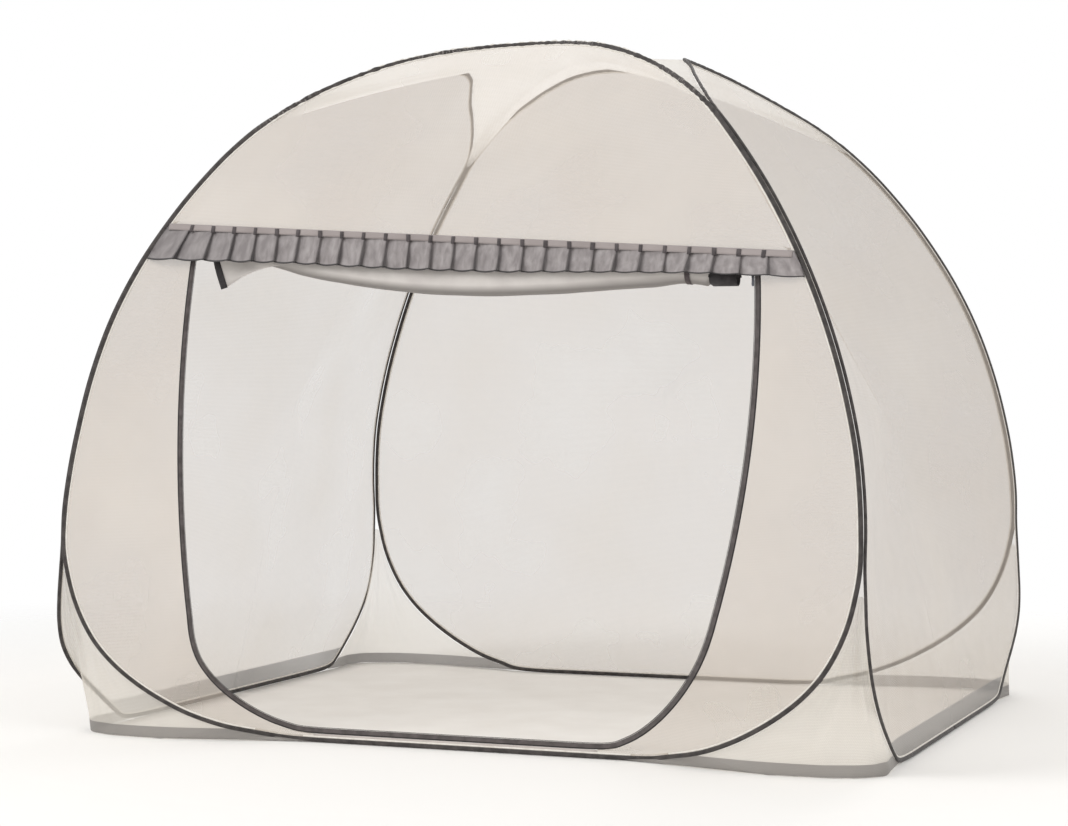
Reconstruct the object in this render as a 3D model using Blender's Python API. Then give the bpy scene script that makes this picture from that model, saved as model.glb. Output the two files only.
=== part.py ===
# Pop-up mosquito net for a bed: four sprung wire loops, sewn together along four
# curved corner ribs, with netting in each loop, a roof cloth, a base sheet and a
# zipped door that is rolled up under a pleated valance.
# Metres, +Z up, front towards -Y, origin on the ground under the middle.
import math

import bmesh
import bpy
import numpy as np
from mathutils import Matrix, Vector

# Wire, its joining sleeve and the folded tape that holds it
WIRE_RADIUS = 0.00175
WIRE_SIDES = 5
WIRE_END_GAP = 0.0006
SLEEVE_WALL = 0.0005
SLEEVE_LENGTH = 0.030
SLEEVE_CRIMP = 0.0002
TAPE_THICKNESS = 0.0010
TAPE_LIP = 0.0100
CLEARANCE = 0.0003
NET_THICKNESS = 0.0008
NET_TUCK = 0.0040

# Corner of the dome at the front right, as points that the wires pass through
VEE = (0.980, -0.890, 0.455)
RIB_LOW = (0.960, -0.860, 0.720)
RIB_MIDDLE = (0.880, -0.830, 1.000)
RIB_HIGH = (0.750, -0.760, 1.250)
RIB_TOP = (0.565, -0.635, 1.480)
# Top and bottom of the front loop
ARCH_TOP = (0.000, -0.275, 1.690)
ARCH_SHOULDER = (0.300, -0.450, 1.635)
FRONT_LEG_BEND = (0.890, -0.885, 0.220)
FRONT_LEG_FOOT = (0.670, -0.835, 0.060)
FRONT_RUN_END = (0.400, -0.740, 0.000)
# Top and bottom of the right loop
TIP_TOP = (0.310, 0.000, 1.665)
TIP_SHOULDER = (0.400, -0.260, 1.615)
SIDE_LEG_BEND = (0.995, -0.870, 0.220)
SIDE_LEG_FOOT = (0.990, -0.685, 0.060)
SIDE_RUN_END = (0.990, -0.560, 0.000)
# Base sheet: its thickness, and the middle of its rounded front right corner
BASE_THICKNESS = 0.0010
BASE_CORNER = (0.925, -0.805)
# How far the cut of the roof cloth lifts its middle above a flat film
ROOF_RISE = 0.080
# Steps along each stretch of a loop, from its top to its run on the ground
TOP_STEPS = (3, 3)
RIB_STEPS = (3, 2, 2, 3)
LEG_STEPS = (4, 4, 3)

# Door header and valance; the left and right heights follow the sloping cloth
HEADER_HEIGHT_LEFT = 1.235
HEADER_HEIGHT_RIGHT = 1.140
HEADER_TAPE_WIDTH = 0.015
HEADER_TAPE_THICKNESS = 0.0012
HEADER_FLANGE = 0.012
HEADER_INSET = 0.0160
VALANCE_DROP = 0.085
VALANCE_THICKNESS = 0.0008
PLEATS = 28
PLEAT_DEPTH_TOP = 0.0045
PLEAT_DEPTH_BOTTOM = 0.0130
PLEAT_OVERLAP = 0.08
# How far the valance leans out for each metre of drop, at the door and at the legs
VALANCE_LEAN = 0.08
VALANCE_LEAN_END = 0.45
# Rolled door and the two ribbons that hold it
ROLL_RADIUS = 0.028
ROLL_TIED_RADIUS = 0.021
ROLL_CLOTH = 0.0030
ROLL_DROP = 0.070
ROLL_SWAG = 0.045
ROLL_PINCH = 0.090
# How far the roll's ends and its ribbons lie inside the ends of the header
ROLL_INSET_LEFT = 0.1268
ROLL_INSET_RIGHT = 0.1323
TIE_INSET_LEFT = 0.2418
TIE_INSET_RIGHT = 0.2373
TIE_WIDTH = 0.012
TIE_THICKNESS = 0.0010

# Zip: a fixed half tape down each side of the doorway and along its sill.
# Each side starts inside the header's end, runs through two points and bends over to the sill.
ZIP_INSET_LEFT = 0.0738
ZIP_MIDDLE_LEFT = (-0.676, -0.845, 0.622)
ZIP_LOW_LEFT = (-0.636, -0.861, 0.249)
ZIP_INSET_RIGHT = 0.0833
ZIP_MIDDLE_RIGHT = (0.709, -0.831, 0.749)
ZIP_LOW_RIGHT = (0.624, -0.863, 0.297)
ZIP_FOOT_LEFT = -0.385
ZIP_FOOT_RIGHT = 0.330
ZIP_BEND_PULL = 0.110
ZIP_STEPS = 16
ZIP_BEND_STEPS = 7
ZIP_TOP_GAP = 0.0030
ZIP_STOP_DROP = 0.0220
SILL_SHOW = 0.0060
ZIP_TAPE_WIDTH = 0.013
ZIP_TAPE_THICKNESS = 0.0008
COIL_WIDTH = 0.0024
COIL_HEIGHT = 0.0022
STOP_LENGTH = 0.0040
STOP_SIZE = 0.0032
# Zip slider: two plates on a bridge, with a crown that holds the pull tab
SLIDER_LENGTH = 0.014
SLIDER_WIDTH = 0.0095
SLIDER_PLATE = 0.0012
SLIDER_BRIDGE = 0.0018
SLIDER_GAP = 0.0004
SLIDER_TAIL = 0.72
CROWN_LENGTH = 0.0086
CROWN_WIDTH = 0.0016
CROWN_BAR = 0.0008
PULL_LENGTH = 0.034
PULL_WIDTH = 0.0065
PULL_THICKNESS = 0.0011
PULL_RAIL = 0.0014
PULL_WINDOW = 0.0065
PULL_GAP = 0.00035
# Height of the line about which the front and back loops swing together
FOLD_AXIS_HEIGHT = 2.690

CHARCOAL = (0.045, 0.042, 0.040)
NET_WHITE = (0.78, 0.76, 0.72)
ROOF_WHITE = (0.86, 0.85, 0.82)
MAUVE = (0.36, 0.32, 0.33)
STEEL = (0.45, 0.45, 0.46)
BLACK = (0.02, 0.02, 0.02)

UP = np.array([0.0, 0.0, 1.0])
MIRROR_X = np.array([-1.0, 1.0, 1.0])
MIRROR_Y = np.array([1.0, -1.0, 1.0])
TAPE_INNER = WIRE_RADIUS + SLEEVE_WALL + 4 * CLEARANCE
TAPE_OUTER = TAPE_INNER + TAPE_THICKNESS
MOUTH_INNER = NET_THICKNESS / 2 + 2 * CLEARANCE
MOUTH_OUTER = MOUTH_INNER + TAPE_THICKNESS
TAPE_CORNER = 0.45
TAPE_REACH = TAPE_OUTER * math.hypot(1, TAPE_CORNER)
# The two tapes along a rib lie side by side, each half this far from the other's wire
RIB_PITCH = 2 * TAPE_REACH + CLEARANCE
# Points of a loop: down its half to the end of its run, and the one where the ribs part
RUN_END = sum(TOP_STEPS) + sum(RIB_STEPS) + sum(LEG_STEPS)
RIB_TOP_AT = sum(TOP_STEPS)
VEE_AT = sum(TOP_STEPS) + sum(RIB_STEPS)
TUCK_REACH = TAPE_LIP - NET_TUCK
OUT_REACH = TAPE_LIP + NET_TUCK
ZIP_REACH = COIL_WIDTH / 2 + CLEARANCE + ZIP_TAPE_WIDTH
SILL_HEIGHT = TAPE_OUTER + TAPE_LIP + SILL_SHOW + CLEARANCE + ZIP_REACH


def clear_scene():
    for old in list(bpy.data.objects):
        bpy.data.objects.remove(old, do_unlink=True)


def material(name, colour, roughness, metallic=0.0):
    made = bpy.data.materials.get(name)
    if made is None:
        made = bpy.data.materials.new(name)
        made.use_nodes = True
        shader = made.node_tree.nodes["Principled BSDF"]
        shader.inputs["Base Color"].default_value = (*colour, 1.0)
        shader.inputs["Roughness"].default_value = roughness
        shader.inputs["Metallic"].default_value = metallic
    return made


def unit(v):
    return v / np.linalg.norm(v, axis=-1, keepdims=True)


def across(v, t):
    """The part of v that is square to the unit vector t, as a unit vector."""
    return unit(v - (v * t).sum(-1, keepdims=True) * t)


def add_object(name, verts, faces, mat, axis=None, smooth=True):
    """A mesh object; with axis, its parent is the empty on its joint's axis."""
    mesh = bpy.data.meshes.new(name)
    mesh.from_pydata([tuple(map(float, v)) for v in verts], [], faces)
    work = bmesh.new()
    work.from_mesh(mesh)
    bmesh.ops.recalc_face_normals(work, faces=work.faces)
    work.to_mesh(mesh)
    work.free()
    if smooth:
        mesh.shade_smooth()
        mesh.set_sharp_from_angle(angle=math.radians(40))
    mesh.materials.append(mat)
    made = bpy.data.objects.new(name, mesh)
    bpy.context.scene.collection.objects.link(made)
    if axis is not None:
        mesh.transform(Matrix.Translation(-Vector(axis["at"])))
        made.parent = axis["empty"]
    return made


def joint_axis(name, at, parent=None):
    """An empty on a joint's axis; pieces of the moving body hang from it."""
    empty = bpy.data.objects.new(name, None)
    bpy.context.scene.collection.objects.link(empty)
    base = Vector(parent["at"]) if parent else Vector()
    empty.location = Vector(at) - base
    if parent:
        empty.parent = parent["empty"]
    return {"empty": empty, "at": tuple(at)}


def smooth_chain(points, steps):
    """Stations along a closed centripetal Catmull-Rom curve, with steps per stretch."""
    points = np.array(points, float)
    count = len(points)
    gap = np.linalg.norm(np.roll(points, -1, axis=0) - points, axis=1) ** 0.5
    out = []
    for i in range(count):
        p0, p1 = points[i - 1], points[i]
        p2, p3 = points[(i + 1) % count], points[(i + 2) % count]
        d0, d1, d2 = gap[i - 1], gap[i], gap[(i + 1) % count]
        m1 = ((p1 - p0) / d0 - (p2 - p0) / (d0 + d1) + (p2 - p1) / d1) * d1
        m2 = ((p2 - p1) / d1 - (p3 - p1) / (d1 + d2) + (p3 - p2) / d2) * d1
        for k in range(steps[i]):
            t = k / steps[i]
            out.append(
                (2 * t**3 - 3 * t**2 + 1) * p1
                + (t**3 - 2 * t**2 + t) * m1
                + (3 * t**2 - 2 * t**3) * p2
                + (t**3 - t**2) * m2
            )
    return np.array(out)


def loop_stations(top, rib, leg, flip):
    """A closed wire loop: over its top, down one rib and leg, along the ground, up again."""
    half = [top[0], top[1], *rib[::-1], *leg]
    other = [np.array(p) * flip for p in half[:0:-1]]
    down = (*TOP_STEPS, *RIB_STEPS, *LEG_STEPS)
    stations = smooth_chain([*half, *other], (*down, 1, *down[::-1]))
    stations[:, 2] += TAPE_OUTER
    return stations


RIB = (VEE, RIB_LOW, RIB_MIDDLE, RIB_HIGH, RIB_TOP)


def front_and_right_loops():
    """The two loops that share the front right rib, with their wires side by side along it."""
    leg = (FRONT_LEG_BEND, FRONT_LEG_FOOT, FRONT_RUN_END)
    front = loop_stations((ARCH_TOP, ARCH_SHOULDER), RIB, leg, MIRROR_X)
    leg = (SIDE_LEG_BEND, SIDE_LEG_FOOT, SIDE_RUN_END)
    right = loop_stations((TIP_TOP, TIP_SHOULDER), RIB, leg, MIRROR_Y)
    middle = (front + right) / 2
    t = tangents(middle)
    apart = across(np.tile((-1.0, -1.0, 0.0), (len(t), 1)), t) * RIB_PITCH / 2
    for i in range(RIB_TOP_AT - 1, VEE_AT + 2):
        if RIB_TOP_AT <= i <= VEE_AT:
            front[i], right[i] = middle[i] + apart[i], middle[i] - apart[i]
        else:
            front[i], right[i] = front[i] + apart[i] / 2, right[i] - apart[i] / 2
        front[-i] = front[i] * MIRROR_X
        right[-i] = right[i] * MIRROR_Y
    return front, right


def tangents(points, closed=True):
    if closed:
        return unit(np.roll(points, -1, axis=0) - np.roll(points, 1, axis=0))
    return unit(np.gradient(points, axis=0))


def sweep(name, centre, side, outline, mat, closed=True, axis=None):
    """A solid swept along centre; outline points are (towards side, square to side)."""
    t = tangents(centre, closed)
    u = across(side, t)
    n = np.cross(t, u)
    count, ring = len(centre), len(outline)
    verts = [centre[i] + a * u[i] + b * n[i] for i in range(count) for a, b in outline]
    faces = []
    for i in range(count if closed else count - 1):
        j = (i + 1) % count
        for k in range(ring):
            m = (k + 1) % ring
            faces.append((i * ring + k, i * ring + m, j * ring + m, j * ring + k))
    if not closed:
        faces.append(tuple(range(ring)))
        faces.append(tuple(range((count - 1) * ring, count * ring)))
    return add_object(name, verts, faces, mat, axis)


def circle(radius, sides):
    turn = [2 * math.pi * k / sides for k in range(sides)]
    return [(radius * math.cos(a), radius * math.sin(a)) for a in turn]


def solid_sheet(name, rows, mat, thickness, closed=False, axis=None):
    """A cloth sheet through rows of points; closed rows end in a point at the middle."""
    rows = [np.array(r, float) for r in rows]
    width = len(rows[0])
    verts = [p for r in rows for p in r]
    faces = []
    for i in range(len(rows) - 1):
        for k in range(width if closed else width - 1):
            m = (k + 1) % width
            faces.append((i * width + k, i * width + m, (i + 1) * width + m, (i + 1) * width + k))
    if closed:
        last = (len(rows) - 1) * width
        verts.append(rows[-1].mean(0))
        faces += [(last + k, last + (k + 1) % width, len(verts) - 1) for k in range(width)]
    made = add_object(name, verts, faces, mat, axis)
    shell = made.modifiers.new("thickness", "SOLIDIFY")
    shell.thickness = thickness
    shell.offset = 0.0
    return made


def stretched_net(ring, rows, passes=80):
    """Rows of points from a closed edge to the middle, relaxed as a taut net is."""
    middle = ring.mean(0)
    grid = np.array([ring + (middle - ring) * k / rows for k in range(rows)])
    for _ in range(passes):
        inner = np.concatenate([grid[2:], np.broadcast_to(grid[-1].mean(0), grid[:1].shape)])
        around = np.roll(grid[1:], 1, axis=1) + np.roll(grid[1:], -1, axis=1)
        grid[1:] = (grid[:-1] + inner + around) / 4
    return grid


def even_round(v, passes=3):
    for _ in range(passes):
        v = unit(v + np.roll(v, 1, axis=0) + np.roll(v, -1, axis=0))
    return v


# Outline of the folded tape: a channel round the wire that narrows to its sewn lips
TAPE_OUTLINE = (
    (-TAPE_OUTER, -TAPE_OUTER * TAPE_CORNER),
    (-TAPE_OUTER * TAPE_CORNER, -TAPE_OUTER),
    (TAPE_LIP, -MOUTH_OUTER),
    (TAPE_LIP, -MOUTH_INNER),
    (-TAPE_INNER * TAPE_CORNER, -TAPE_INNER),
    (-TAPE_INNER, 0.0),
    (-TAPE_INNER * TAPE_CORNER, TAPE_INNER),
    (TAPE_LIP, MOUTH_INNER),
    (TAPE_LIP, MOUTH_OUTER),
    (-TAPE_OUTER * TAPE_CORNER, TAPE_OUTER),
    (-TAPE_OUTER, TAPE_OUTER * TAPE_CORNER),
)


def make_wire(name, stations, axis=None):
    """The spring wire, cut where its two ends meet inside the crimped sleeve."""
    cut = (stations[RUN_END] + stations[RUN_END + 1]) / 2
    order = np.roll(stations, -RUN_END - 1, axis=0)
    run = unit(order[0] - order[-1])
    path = np.concatenate([[cut + run * WIRE_END_GAP / 2], order, [cut - run * WIRE_END_GAP / 2]])
    steel = material("spring steel", STEEL, 0.35, 1.0)
    inward = path.mean(0) - path
    sweep(name + "_spring_wire", path, inward, circle(WIRE_RADIUS, WIRE_SIDES), steel, False, axis)
    half = SLEEVE_LENGTH / 2
    bore = (WIRE_RADIUS + CLEARANCE / 2) / math.cos(math.pi / 8)
    outer = WIRE_RADIUS + CLEARANCE + SLEEVE_WALL
    waist = outer - SLEEVE_CRIMP
    outside = ((-half, outer), (-half / 3, waist), (half / 3, waist), (half, outer))
    profile = (*outside, (half, bore), (-half, bore))
    cross = np.cross(run, UP)
    verts = []
    for s, radius in profile:
        verts += [cut + run * s + cross * a + UP * b for a, b in circle(radius, 8)]
    faces = []
    for i in range(len(profile)):
        j = (i + 1) % len(profile)
        for k in range(8):
            m = (k + 1) % 8
            faces.append((i * 8 + k, i * 8 + m, j * 8 + m, j * 8 + k))
    sleeve = material("crimped steel sleeve", (0.55, 0.54, 0.52), 0.4, 1.0)
    add_object(name + "_wire_sleeve", verts, faces, sleeve, axis)


def make_tape(name, stations, side, axis=None):
    cloth = material("charcoal binding tape", CHARCOAL, 0.85)
    sweep(name + "_binding", stations, side, TAPE_OUTLINE, cloth, True, axis)


def edge_rows(stations, side):
    """The two rows of a net that lie between the lips of its tape."""
    u = across(side, tangents(stations))
    tuck = TAPE_LIP - NET_TUCK
    return stations + u * tuck, stations + u * (TAPE_LIP + NET_TUCK)


def plain_wall(name, stations, rows, axis=None):
    """Binding tape and taut net of a wall with no door; returns the net's edge directions."""
    grid = stretched_net(stations, rows)
    side = even_round(across(grid[1] - grid[0], tangents(stations)))
    side[RUN_END] = side[RUN_END + 1] = UP
    side = across(side, tangents(stations))
    make_tape(name, stations, side, axis)
    first, second = edge_rows(stations, side)
    netting = material("mosquito netting", NET_WHITE, 0.8)
    solid_sheet(name + "_net", [first, second, *grid[1:]], netting, NET_THICKNESS, True, axis)
    return side


def arc_through(p0, p1, p2):
    """Centre, axis, radius and angle of the circular arc through three points."""
    p0, p1, p2 = (np.array(p, float) for p in (p0, p1, p2))
    a, b = p1 - p0, p2 - p0
    n = np.cross(a, b)
    centre = p0 + (np.cross(n, a) * b.dot(b) + np.cross(b, n) * a.dot(a)) / (2 * n.dot(n))
    axis = unit(n)
    radial = unit(p0 - centre)
    turned = np.cross(axis, radial)
    end = unit(p2 - centre)
    return {
        "centre": centre,
        "axis": axis,
        "radius": float(np.linalg.norm(p0 - centre)),
        "angle": math.atan2(end @ turned, end @ radial),
        "radial": radial,
    }


def turn_about(points, centre, axis, angle):
    """Points turned about a line, by the right-hand rule."""
    rel = points - centre
    along = np.outer(rel @ axis, axis)
    return centre + along + (rel - along) * math.cos(angle) + np.cross(axis, rel) * math.sin(angle)


def walk(points):
    """Fractions of the length of a line at each of its points."""
    run = np.concatenate([[0.0], np.cumsum(np.linalg.norm(np.diff(points, axis=0), axis=1))])
    return run / run[-1]


def along(values, points, fractions):
    """Values held at the points of a line, read off at fractions of its length."""
    where = walk(points)
    return np.stack([np.interp(fractions, where, values[:, k]) for k in range(3)], 1)


def part_above(points, values, height):
    """The part of a falling line above a height, with the values held along it."""
    keep = points[:, 2] > height + 1e-6
    end = [np.interp(-height, -points[:, 2], v) for v in (*points.T, *values.T)]
    return np.vstack([points[keep], end[:3]]), np.vstack([values[keep], end[3:]])


def part_below(points, values, height):
    keep = points[:, 2] < height - 1e-6
    end = [np.interp(-height, -points[:, 2], v) for v in (*points.T, *values.T)]
    return np.vstack([end[:3], points[keep]]), np.vstack([end[3:], values[keep]])


def zip_route(top, middle, low, foot_x, sign):
    """The coil's line: a true arc that the slider follows, then the bend to the sill."""
    arc = arc_through(top, middle, low)
    angles = np.linspace(0.0, arc["angle"], ZIP_STEPS + 1)
    line = [turn_about(np.array([top], float), arc["centre"], arc["axis"], a)[0] for a in angles]
    run = np.cross(arc["axis"], line[-1] - arc["centre"]) / arc["radius"]
    p0, p3 = line[-1], np.array((foot_x, FRONT_RUN_END[1], SILL_HEIGHT))
    p1 = p0 + run * ZIP_BEND_PULL
    p2 = p3 + np.array((sign * ZIP_BEND_PULL, 0.0, 0.0))
    for k in range(1, ZIP_BEND_STEPS + 1):
        t = k / ZIP_BEND_STEPS
        s = 1 - t
        line.append(s**3 * p0 + 3 * s**2 * t * p1 + 3 * s * t**2 * p2 + t**3 * p3)
    return {"arc": arc, "angles": angles, "line": np.array(line), "sign": sign, "foot": foot_x}


def face_zip_outward(route, edge):
    """Directions from the coil to the net: steady on the arc, then turning to point down."""
    line, last = route["line"], ZIP_STEPS
    t = tangents(line, False)
    t[-1] = (-route["sign"], 0.0, 0.0)
    toward = across(along(edge, edge, walk(line)) - line, t)
    out = np.array(toward)
    for k in range(last):
        turn = route["angles"][k] - route["angles"][last]
        out[k] = turn_about(toward[last][None], np.zeros(3), route["arc"]["axis"], turn)[0]
    for k in range(last, len(line)):
        share = (k - last) / ZIP_BEND_STEPS
        out[k] = unit(toward[last] * (1 - share) - UP * share)
    route["out"] = across(out, t)


def front_sides(front):
    """Wire stations down both legs of the front loop, each ending beyond the run."""
    count = len(front)
    right = list(range(RUN_END + 2))
    left = [0, *range(count - 1, RUN_END - 1, -1)]
    return {1: right, -1: left}


def front_wall(front, axis):
    """Tape, nets and zip line of the front; returns the header's ends and both zip routes."""
    legs = front_sides(front)
    heights = {1: HEADER_HEIGHT_RIGHT, -1: HEADER_HEIGHT_LEFT}
    ends = []
    for sign in (-1, 1):
        leg = front[legs[sign]]
        upper, _ = part_above(leg, leg, heights[sign])
        ends.append(upper[-1] - np.array((sign * HEADER_INSET, 0.0, 0.0)))
    ends = np.array(ends)
    routes = {}
    points = {
        -1: (ends[0][0] + ZIP_INSET_LEFT, ZIP_MIDDLE_LEFT, ZIP_LOW_LEFT),
        1: (ends[1][0] - ZIP_INSET_RIGHT, ZIP_MIDDLE_RIGHT, ZIP_LOW_RIGHT),
    }
    feet = {-1: ZIP_FOOT_LEFT, 1: ZIP_FOOT_RIGHT}
    target = np.array(front)
    left_upper, _ = part_above(front[legs[-1]], front[legs[-1]], heights[-1])
    right_upper, _ = part_above(front[legs[1]], front[legs[1]], heights[1])
    arch = np.vstack([left_upper[::-1], right_upper[1:]])
    header = along(ends, ends, walk(arch))
    for sign, (top_x, middle, low) in points.items():
        top = header_point(ends, top_x, HEADER_FLANGE + ZIP_TOP_GAP)
        route = zip_route(top, middle, low, feet[sign], sign)
        leg = front[legs[sign]]
        edge, _ = part_below(leg[:-1], leg[:-1], heights[sign] - HEADER_FLANGE - ZIP_TOP_GAP)
        edge = np.vstack([edge, (feet[sign], FRONT_RUN_END[1], TAPE_OUTER)])
        face_zip_outward(route, edge)
        routes[sign] = route
        across_from = along(route["line"], route["line"], walk(edge))
        for i in legs[sign][1:-1]:
            p = front[i]
            if p[2] > heights[sign] - HEADER_FLANGE:
                target[i] = header[np.argmin(np.linalg.norm(arch - p, axis=1))]
            else:
                target[i] = across_from[np.argmin(np.linalg.norm(edge - p, axis=1))]
    target[0] = header[np.argmin(np.linalg.norm(arch - front[0], axis=1))]
    side = across(target - front, tangents(front))
    side[RUN_END] = side[RUN_END + 1] = UP
    side = across(side, tangents(front))
    make_tape("front", front, side, axis)
    upper_net(front, side, legs, heights, header, axis)
    for sign, name in ((-1, "left"), (1, "right")):
        side_net(name, front, side, legs[sign], heights[sign], routes[sign], axis)
    sill_cloth(routes, axis)
    return ends, routes


def header_point(ends, x, drop=0.0):
    """A point of the straight header line at x, lowered by drop."""
    share = (x - ends[0][0]) / (ends[1][0] - ends[0][0])
    return ends[0] + (ends[1] - ends[0]) * share - UP * drop


def upper_net(front, side, legs, heights, header, axis):
    lines, sides = {}, {}
    for sign in (-1, 1):
        lines[sign], sides[sign] = part_above(front[legs[sign]], side[legs[sign]], heights[sign])
    arch = np.vstack([lines[-1][::-1], lines[1][1:]])
    u = unit(np.vstack([sides[-1][::-1], sides[1][1:]]))
    rows = [arch + u * TUCK_REACH, arch + u * OUT_REACH]
    rows += [(rows[1] + header) / 2, header, header - UP * HEADER_FLANGE]
    netting = material("mosquito netting", NET_WHITE, 0.8)
    solid_sheet("front_upper_net", rows, netting, NET_THICKNESS, axis=axis)


def side_net(name, front, side, order, height, route, axis):
    """Net between a leg of the front loop and the zip tape, with the folds of both kept."""
    leg, u = front[order[:-1]], side[order[:-1]]
    edge, u = part_below(leg, u, height - HEADER_FLANGE - ZIP_TOP_GAP)
    foot = (route["foot"] + route["sign"] * CLEARANCE, FRONT_RUN_END[1], TAPE_OUTER)
    edge, u = np.vstack([edge, foot]), np.vstack([u, UP])
    tape_edge = route["line"] + route["out"] * (ZIP_REACH + CLEARANCE)
    tape_edge[-1][0] = foot[0]
    kept = np.unique(np.round(np.concatenate([walk(edge), walk(route["line"])]), 4))
    base, u = along(edge, edge, kept), unit(along(u, edge, kept))
    inner = along(tape_edge, route["line"], kept)
    rows = [base + u * TUCK_REACH, base + u * OUT_REACH]
    rows += [(rows[1] + inner) / 2, inner]
    netting = material("mosquito netting", NET_WHITE, 0.8)
    solid_sheet(f"front_{name}_net", rows, netting, NET_THICKNESS, axis=axis)


def sill_cloth(routes, axis):
    """Straight strip of cloth between the tape on the ground and the zip along the sill."""
    low, high = TAPE_OUTER + TUCK_REACH, SILL_HEIGHT - ZIP_REACH - CLEARANCE
    rows = [[(routes[s]["foot"], FRONT_RUN_END[1], z) for s in (-1, 1)] for z in (low, high)]
    cloth = material("door cloth", MAUVE, 0.8)
    solid_sheet("front_sill_cloth", rows, cloth, NET_THICKNESS, axis=axis)


def box_outline(a0, a1, b0, b1):
    return [(a0, b0), (a1, b0), (a1, b1), (a0, b1)]


def zip_fixed_half(routes, axis):
    """The U-shaped half tape with its coil, and a stop at the top of each side."""
    line = np.vstack([routes[-1]["line"], routes[1]["line"][::-1]])
    out = np.vstack([routes[-1]["out"], routes[1]["out"][::-1]])
    tape = material("zip tape", MAUVE, 0.85)
    half = ZIP_TAPE_THICKNESS / 2
    outline = box_outline(COIL_WIDTH / 2 + CLEARANCE, ZIP_REACH, -half, half)
    sweep("front_zip_tape", line, out, outline, tape, False, axis)
    black = material("zip coil", BLACK, 0.5)
    below_stop = ZIP_STOP_DROP + STOP_LENGTH + CLEARANCE
    first = line[0] + unit(line[1] - line[0]) * below_stop
    last = line[-1] + unit(line[-2] - line[-1]) * below_stop
    coil_line = np.vstack([[first], line[1:-1], [last]])
    w, h = COIL_WIDTH / 2, COIL_HEIGHT / 2
    sweep("front_zip_coil", coil_line, out, box_outline(-w, w, -h, h), black, False, axis)
    steel = material("plated zinc", STEEL, 0.35, 1.0)
    outline = box_outline(-STOP_SIZE / 2, w, -STOP_SIZE / 2, STOP_SIZE / 2)
    for name, end, near in (("left", 0, 1), ("right", -1, -2)):
        run = unit(line[near] - line[end])
        first = line[end] + run * ZIP_STOP_DROP
        stop = np.array([first, first + run * STOP_LENGTH])
        direction = np.array([out[end], out[end]])
        sweep(f"{name}_zip_top_stop", stop, direction, outline, steel, False, axis)


def header_frame(ends):
    """Directions along the header and squarely out of the front."""
    along_x = unit(ends[1] - ends[0])
    return along_x, unit(np.cross(along_x, UP))


def header_and_valance(ends, axis):
    """Header tape with the knife-pleated valance sewn under it."""
    along_x, outward = header_frame(ends)
    length = np.linalg.norm(ends[1] - ends[0])
    pitch = length / PLEATS
    back = (NET_THICKNESS + VALANCE_THICKNESS) / 2 + CLEARANCE

    def hung(run, depth, drop):
        share = abs(2 * run / length - 1)
        lean = VALANCE_LEAN + (VALANCE_LEAN_END - VALANCE_LEAN) * share**3
        return ends[0] + along_x * run + outward * (depth + lean * drop) - UP * drop

    rows = []
    tape_end = HEADER_TAPE_WIDTH + 2 * CLEARANCE
    levels = ((0.0, PLEAT_DEPTH_TOP), (tape_end, PLEAT_DEPTH_TOP), (VALANCE_DROP, PLEAT_DEPTH_BOTTOM))
    for drop, depth in levels:
        folds = ((0.0, 0.0), (1.0 + PLEAT_OVERLAP / 2, depth), (1.0 - PLEAT_OVERLAP / 2, depth * 0.35))
        row = [hung(pitch * (i + a), back + d, drop) for i in range(PLEATS) for a, d in folds]
        row[-2:] = [hung(length, back + depth, drop)]
        rows.append(row)
    cloth = material("valance cloth", MAUVE, 0.8)
    solid_sheet("front_valance", rows, cloth, VALANCE_THICKNESS, axis=axis)
    front_of = back + PLEAT_DEPTH_TOP + (VALANCE_THICKNESS + HEADER_TAPE_THICKNESS) / 2 + CLEARANCE
    runs = np.linspace(0.0, length, 13)
    rows = [[hung(run, front_of, drop) for run in runs] for drop in (0.0, HEADER_TAPE_WIDTH)]
    solid_sheet("front_header_tape", rows, cloth, HEADER_TAPE_THICKNESS, axis=axis)


def roll_outline(radius, centre_drop, off, front_drop, back_drop):
    """Section of the rolled door: down its hanging cloth, round the roll and up again."""
    face = NET_THICKNESS / 2 + CLEARANCE
    middle = face + radius
    turn = [math.radians(a) for a in range(180, 481, 30)]
    points = [(face - off, -front_drop)]
    around = radius + off
    points += [(middle + around * math.cos(a), around * math.sin(a) - centre_drop) for a in turn]
    back = ROLL_CLOTH + off
    rise = math.sqrt((radius + off) ** 2 - (radius - back) ** 2)
    return points + [(face + back, rise - centre_drop), (face + back, -back_drop)]


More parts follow.
